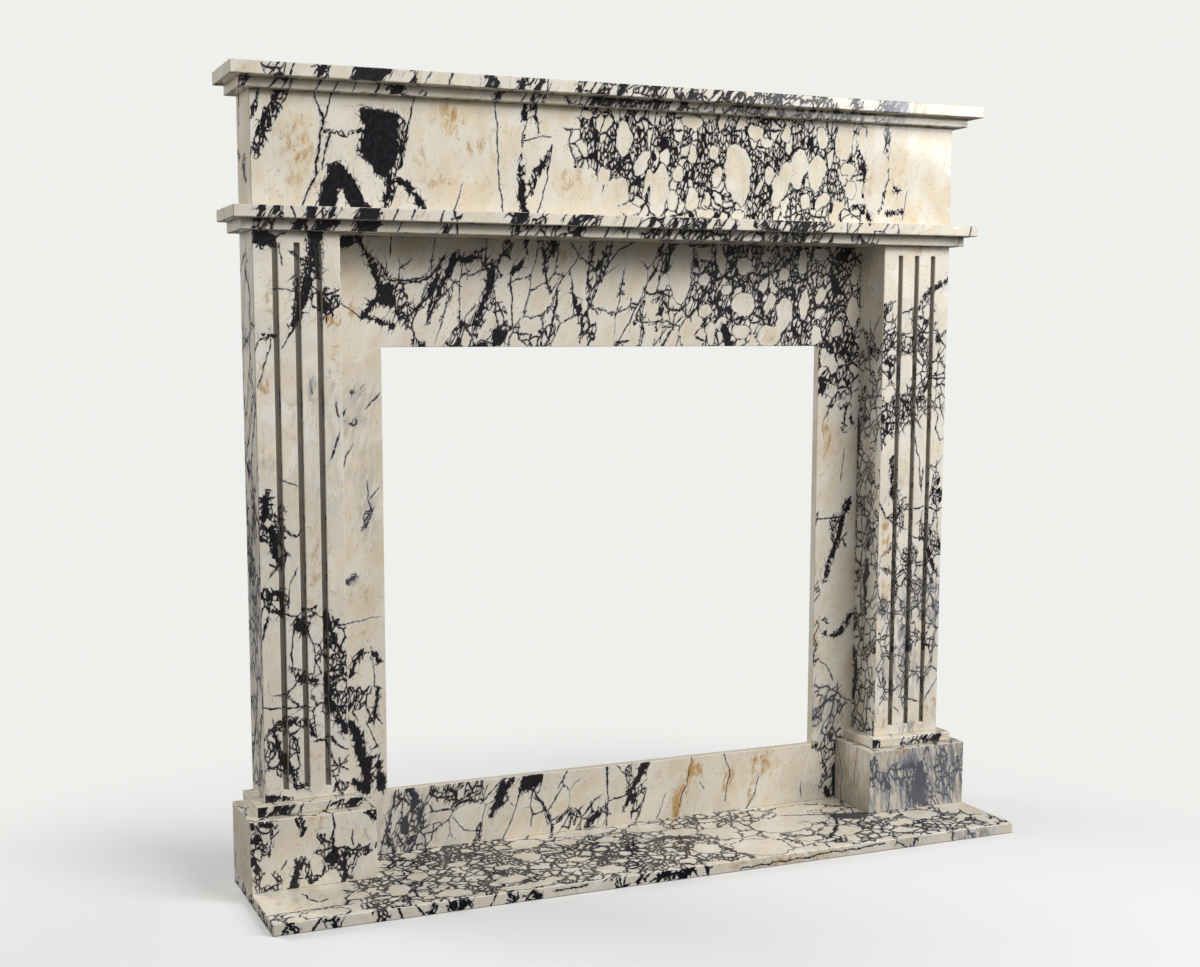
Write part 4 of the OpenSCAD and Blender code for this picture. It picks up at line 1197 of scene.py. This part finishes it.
shelfTop = {
    "lean": 0.3, "stretch": 1.0, "crumb": 0.05,
    "crumbs": [
        (60, 70, 40, 80, 0, 0.25), (220, 70, 40, 90, 0, 0.6), (480, 70, 60, 90, 0, 0.45),
        (680, 70, 110, 90, 0, 0.68), (930, 70, 140, 90, 0, 0.66), (1110, 70, 20, 60, 0, 0.5)],
    "clasts": [
        (640, 60, 30, 22, 0), (720, 90, 30, 26, 20), (880, 40, 26, 20, 0), (960, 90, 34, 26, -20),
        (1010, 40, 20, 16, 0)],
    "ink": [[(190, 0, 9), (215, 50, 12), (250, 120, 6)]],
    "veins": [
        [(340, 0, 1.4), (380, 134, 1.6)], [(420, 0, 1.2), (400, 134, 1)],
        [(1180, 0, 1), (1230, 134, 1.2)]],
    "stains": [(300, 70, 60, 50, 0, 0.5), (1250, 70, 60, 50, 0, 0.5)],
}
cornerTop = {"crumb": 0.2, "stretch": 1.0}

mantelShelfLook = slabLook(16, edgeStrip(
    height=20,
    blacks=[(196, 214, 7), (212, 236, 9), (232, 246, 6), (1094, 1104, 4), (468, 478, 4), (496, 506, 5),
            (570, 582, 4), (640, 650, 4), (772, 782, 5), (840, 850, 4), (940, 950, 4), (138, 146, 4),
            (408, 418, 4)],
    dense=[(48, 90, 0.5), (125, 155, 0.5), (180, 250, 0.85), (264, 300, 0.4), (395, 435, 0.6),
           (455, 530, 0.45), (560, 650, 0.65), (680, 800, 0.9), (810, 900, 0.8), (900, 1010, 0.7),
           (1010, 1060, 0.6), (1085, 1115, 0.7), (1130, 1190, 0.4)],
    veins=[(60, 76), (92, 98), (308, 318), (346, 352), (605, 620), (1150, 1162)],
    stains=(300, 1240, 20),
    haze=(1180, 1200)), shelfTop)
shelfBedLook = slabLook(15, edgeStrip(
    height=15,
    blacks=[(248, 256, 6), (5, 12, 3), (585, 595, 4), (640, 655, 5), (700, 712, 4), (745, 760, 4),
            (895, 905, 5), (1000, 1010, 4), (1105, 1112, 4)],
    dense=[(0, 90, 0.6), (232, 262, 0.7), (280, 300, 0.4), (410, 440, 0.4), (478, 520, 0.5),
           (565, 790, 0.85), (830, 1130, 0.72)],
    veins=[(120, 128), (148, 155), (180, 186), (215, 222), (460, 468)],
    haze=(1180,)))
corniceSlabLook = slabLook(13, edgeStrip(
    height=19,
    blacks=[(38, 46, 4), (60, 70, 4), (118, 124, 4), (150, 158, 5), (200, 216, 9), (222, 230, 5),
            (465, 475, 6), (455, 462, 3), (560, 592, 5), (700, 708, 4), (745, 753, 4), (940, 950, 4),
            (1000, 1012, 4)],
    dense=[(36, 80, 0.6), (108, 160, 0.6), (196, 236, 0.8), (350, 368, 0.5), (445, 515, 0.62),
           (545, 610, 0.7), (688, 860, 0.85), (895, 1050, 0.78), (1070, 1200, 0.42)],
    veins=[(96, 90), (252, 260), (282, 290), (332, 338), (360, 352), (650, 656), (1348, 1352)],
    stains=(300, 640, 1240)), cornerTop)
corniceBedLook = slabLook(12, edgeStrip(
    height=17,
    blacks=[(120, 144, 8), (186, 204, 8), (200, 218, 6), (22, 28, 4), (44, 50, 4), (86, 100, 5),
            (556, 572, 5), (330, 340, 4), (452, 458, 4), (700, 712, 4), (945, 955, 4)],
    dense=[(16, 56, 0.5), (78, 112, 0.6), (120, 148, 0.8), (180, 220, 0.85), (320, 350, 0.45),
           (436, 486, 0.5), (496, 566, 0.5), (655, 865, 0.82), (880, 1045, 0.75), (1080, 1165, 0.45)],
    veins=[(250, 256), (350, 352), (610, 620)],
    haze=(1325,)))
capLeftLook = slabLook(7, edgeStrip(
    height=17,
    blacks=[(2, 10, 7), (20, 34, 6), (40, 50, 5), (152, 172, 7)],
    dense=[(0, 76, 0.85), (112, 142, 0.55), (146, 174, 0.8)],
    veins=[(66, 74), (114, 120), (136, 142)]), cornerTop)
capRightLook = slabLook(8, edgeStrip(
    height=17,
    blacks=[(0, 8, 5), (112, 120, 4), (138, 148, 4)],
    dense=[(0, 18, 0.7), (60, 100, 0.35), (106, 152, 0.75)],
    veins=[(64, 70), (84, 90), (96, 100)],
    stains=(160,)), cornerTop)

looks = {
    "hearth_slab": hearthLook,
    "plinth_left": plinthLeftLook,
    "plinth_right": plinthRightLook,
    "plinth_cap_left": capLeftLook,
    "plinth_cap_right": capRightLook,
    "pilaster_left": pilasterLeftLook,
    "pilaster_right": pilasterRightLook,
    "back_panel": panelLook,
    "cornice_bed": corniceBedLook,
    "cornice_slab": corniceSlabLook,
    "frieze": friezeLook,
    "shelf_bed": shelfBedLook,
    "mantel_shelf": mantelShelfLook,
}

# the black runs right through a thin slab and comes out on its back
for look in (panelLook, friezeLook):
    look["faces"]["back"] = look["faces"]["front"]

for nodeName, look in looks.items():
    marble = makeMarble("marble_" + nodeName, baseTone | look["tone"])
    buildStone(nodeName, look, marble)
print("stones laid")

# lengths and places in metres, turns in degrees
studio = {
    "floor": 0.9, "floorSize": 12, "floorGap": 0.0003, "farFloor": (0.865, 0.87, 0.845), "bounce": 0.14,
    "middle": (-0.25, -0.45, 0), "fadeFrom": 0.75, "fadeTo": 1.5, "glow": 0.15, "world": 0.17,
}
lamps = {
    "key_softbox": {"place": (2.9, -2.6, 2.3), "target": (0.2, 0, 0.8), "size": (1.6, 1.6),
                    "watts": 75, "roll": -28},
    "front_softbox": {"place": (1.1, -2.3, 2.85), "target": (0.1, 0, 0.6), "size": (1.6, 1.4),
                      "watts": 62},
    "left_softbox": {"place": (-2.7, 2.3, 1.6), "target": (-0.6, 0, 0.7), "size": (1.6, 2.0),
                     "watts": 78, "mirrored": False},
    "fill_softbox": {"place": (-1.5, -2.5, 2.7), "target": (-0.5, 0, 1.1), "size": (1.6, 1.6),
                     "watts": 18},
}
eye = {"place": (-1.1973, -2.4428, 0.8785), "down": 6.93, "turn": -21.98, "roll": -0.193,
       "lens": 48.185, "shift": (0.0607, 0.04997)}


def makeFloor():
    # a round floor under the hearth slab, finer near its middle
    height = cadBounds[0][2] - studio["floorGap"]
    rings, spokes = 24, 64
    points = [(0, 0, height)]
    for ring in range(1, rings + 1):
        reach = studio["floorSize"] * (ring / rings) ** 2
        for k in range(spokes):
            angle = 2 * math.pi * k / spokes
            points.append((reach * math.cos(angle), reach * math.sin(angle), height))
    faces = [(0, 1 + k, 1 + (k + 1) % spokes) for k in range(spokes)]
    for ring in range(rings - 1):
        a = 1 + ring * spokes
        for k in range(spokes):
            after = (k + 1) % spokes
            faces.append((a + k, a + spokes + k, a + spokes + after, a + after))
    mesh = bpy.data.meshes.new("studio_floor")
    mesh.from_pydata(points, [], faces)
    floor = bpy.data.objects.new("studio_floor", mesh)
    bpy.context.scene.collection.objects.link(floor)
    paint = bpy.data.materials.new("floor_paint")
    paint.use_nodes = True
    tree = paint.node_tree
    shader = tree.nodes["Principled BSDF"]
    shader.inputs["Base Color"].default_value = (studio["floor"],) * 3 + (1,)
    shader.inputs["Roughness"].default_value = 0.7
    glow = tree.nodes.new("ShaderNodeEmission")
    glow.inputs["Color"].default_value = studio["farFloor"] + (1,)
    place = tree.nodes.new("ShaderNodeNewGeometry").outputs["Position"]
    away = tree.nodes.new("ShaderNodeVectorMath")
    away.operation = "DISTANCE"
    tree.links.new(place, away.inputs[0])
    away.inputs[1].default_value = studio["middle"]
    fade = step(tree, away.outputs["Value"], studio["fadeFrom"], studio["fadeTo"], studio["glow"], 1.0)
    mix = tree.nodes.new("ShaderNodeMixShader")
    tree.links.new(fade, mix.inputs[0])
    tree.links.new(shader.outputs[0], mix.inputs[1])
    tree.links.new(glow.outputs[0], mix.inputs[2])
    # what the floor throws back onto the stone is duller than what is seen of it
    dull = tree.nodes.new("ShaderNodeBsdfDiffuse")
    dull.inputs["Color"].default_value = (studio["bounce"],) * 3 + (1,)
    seen = tree.nodes.new("ShaderNodeMixShader")
    tree.links.new(tree.nodes.new("ShaderNodeLightPath").outputs["Is Camera Ray"], seen.inputs[0])
    tree.links.new(dull.outputs[0], seen.inputs[1])
    tree.links.new(mix.outputs[0], seen.inputs[2])
    tree.links.new(seen.outputs[0], tree.nodes["Material Output"].inputs["Surface"])
    mesh.materials.append(paint)


def makeWorld():
    # soft light from all round, and a plain backdrop for the camera
    world = bpy.data.worlds.new("studio")
    bpy.context.scene.world = world
    world.use_nodes = True
    tree = world.node_tree
    light = tree.nodes["Background"]
    light.inputs["Color"].default_value = (1.0, 0.99, 0.97, 1)
    light.inputs["Strength"].default_value = studio["world"]
    seen = tree.nodes.new("ShaderNodeBackground")
    seen.inputs["Color"].default_value = studio["farFloor"] + (1,)
    path = tree.nodes.new("ShaderNodeLightPath")
    mix = tree.nodes.new("ShaderNodeMixShader")
    tree.links.new(path.outputs["Is Camera Ray"], mix.inputs[0])
    tree.links.new(light.outputs[0], mix.inputs[1])
    tree.links.new(seen.outputs[0], mix.inputs[2])
    tree.links.new(mix.outputs[0], tree.nodes["World Output"].inputs["Surface"])


def addLamp(name, place, target, size, watts, roll=0.0, mirrored=True):
    lamp = bpy.data.lights.new(name, "AREA")
    lamp.shape = "RECTANGLE"
    lamp.size, lamp.size_y = size
    lamp.energy = watts
    holder = bpy.data.objects.new(name, lamp)
    holder.visible_camera = False
    holder.visible_glossy = mirrored
    holder.location = place
    aim = (Vector(target) - Vector(place)).to_track_quat("-Z", "Y").to_matrix()
    holder.rotation_euler = (aim @ Euler((0, 0, math.radians(roll))).to_matrix()).to_euler()
    bpy.context.scene.collection.objects.link(holder)


def addCamera():
    camera = bpy.data.cameras.new("camera")
    camera.lens = eye["lens"]
    camera.sensor_width = 36
    camera.shift_x, camera.shift_y = eye["shift"]
    holder = bpy.data.objects.new("camera", camera)
    holder.location = eye["place"]
    aim = Euler((math.radians(90 - eye["down"]), 0, math.radians(eye["turn"]))).to_matrix()
    roll = Euler((0, 0, math.radians(eye["roll"]))).to_matrix()
    holder.rotation_euler = (aim @ roll).to_euler()
    bpy.context.scene.collection.objects.link(holder)
    bpy.context.scene.camera = holder


makeFloor()
makeWorld()
for name, lamp in lamps.items():
    addLamp(name, **lamp)
addCamera()
bpy.context.scene.view_settings.view_transform = "Standard"
print("floor, lamps and camera set")
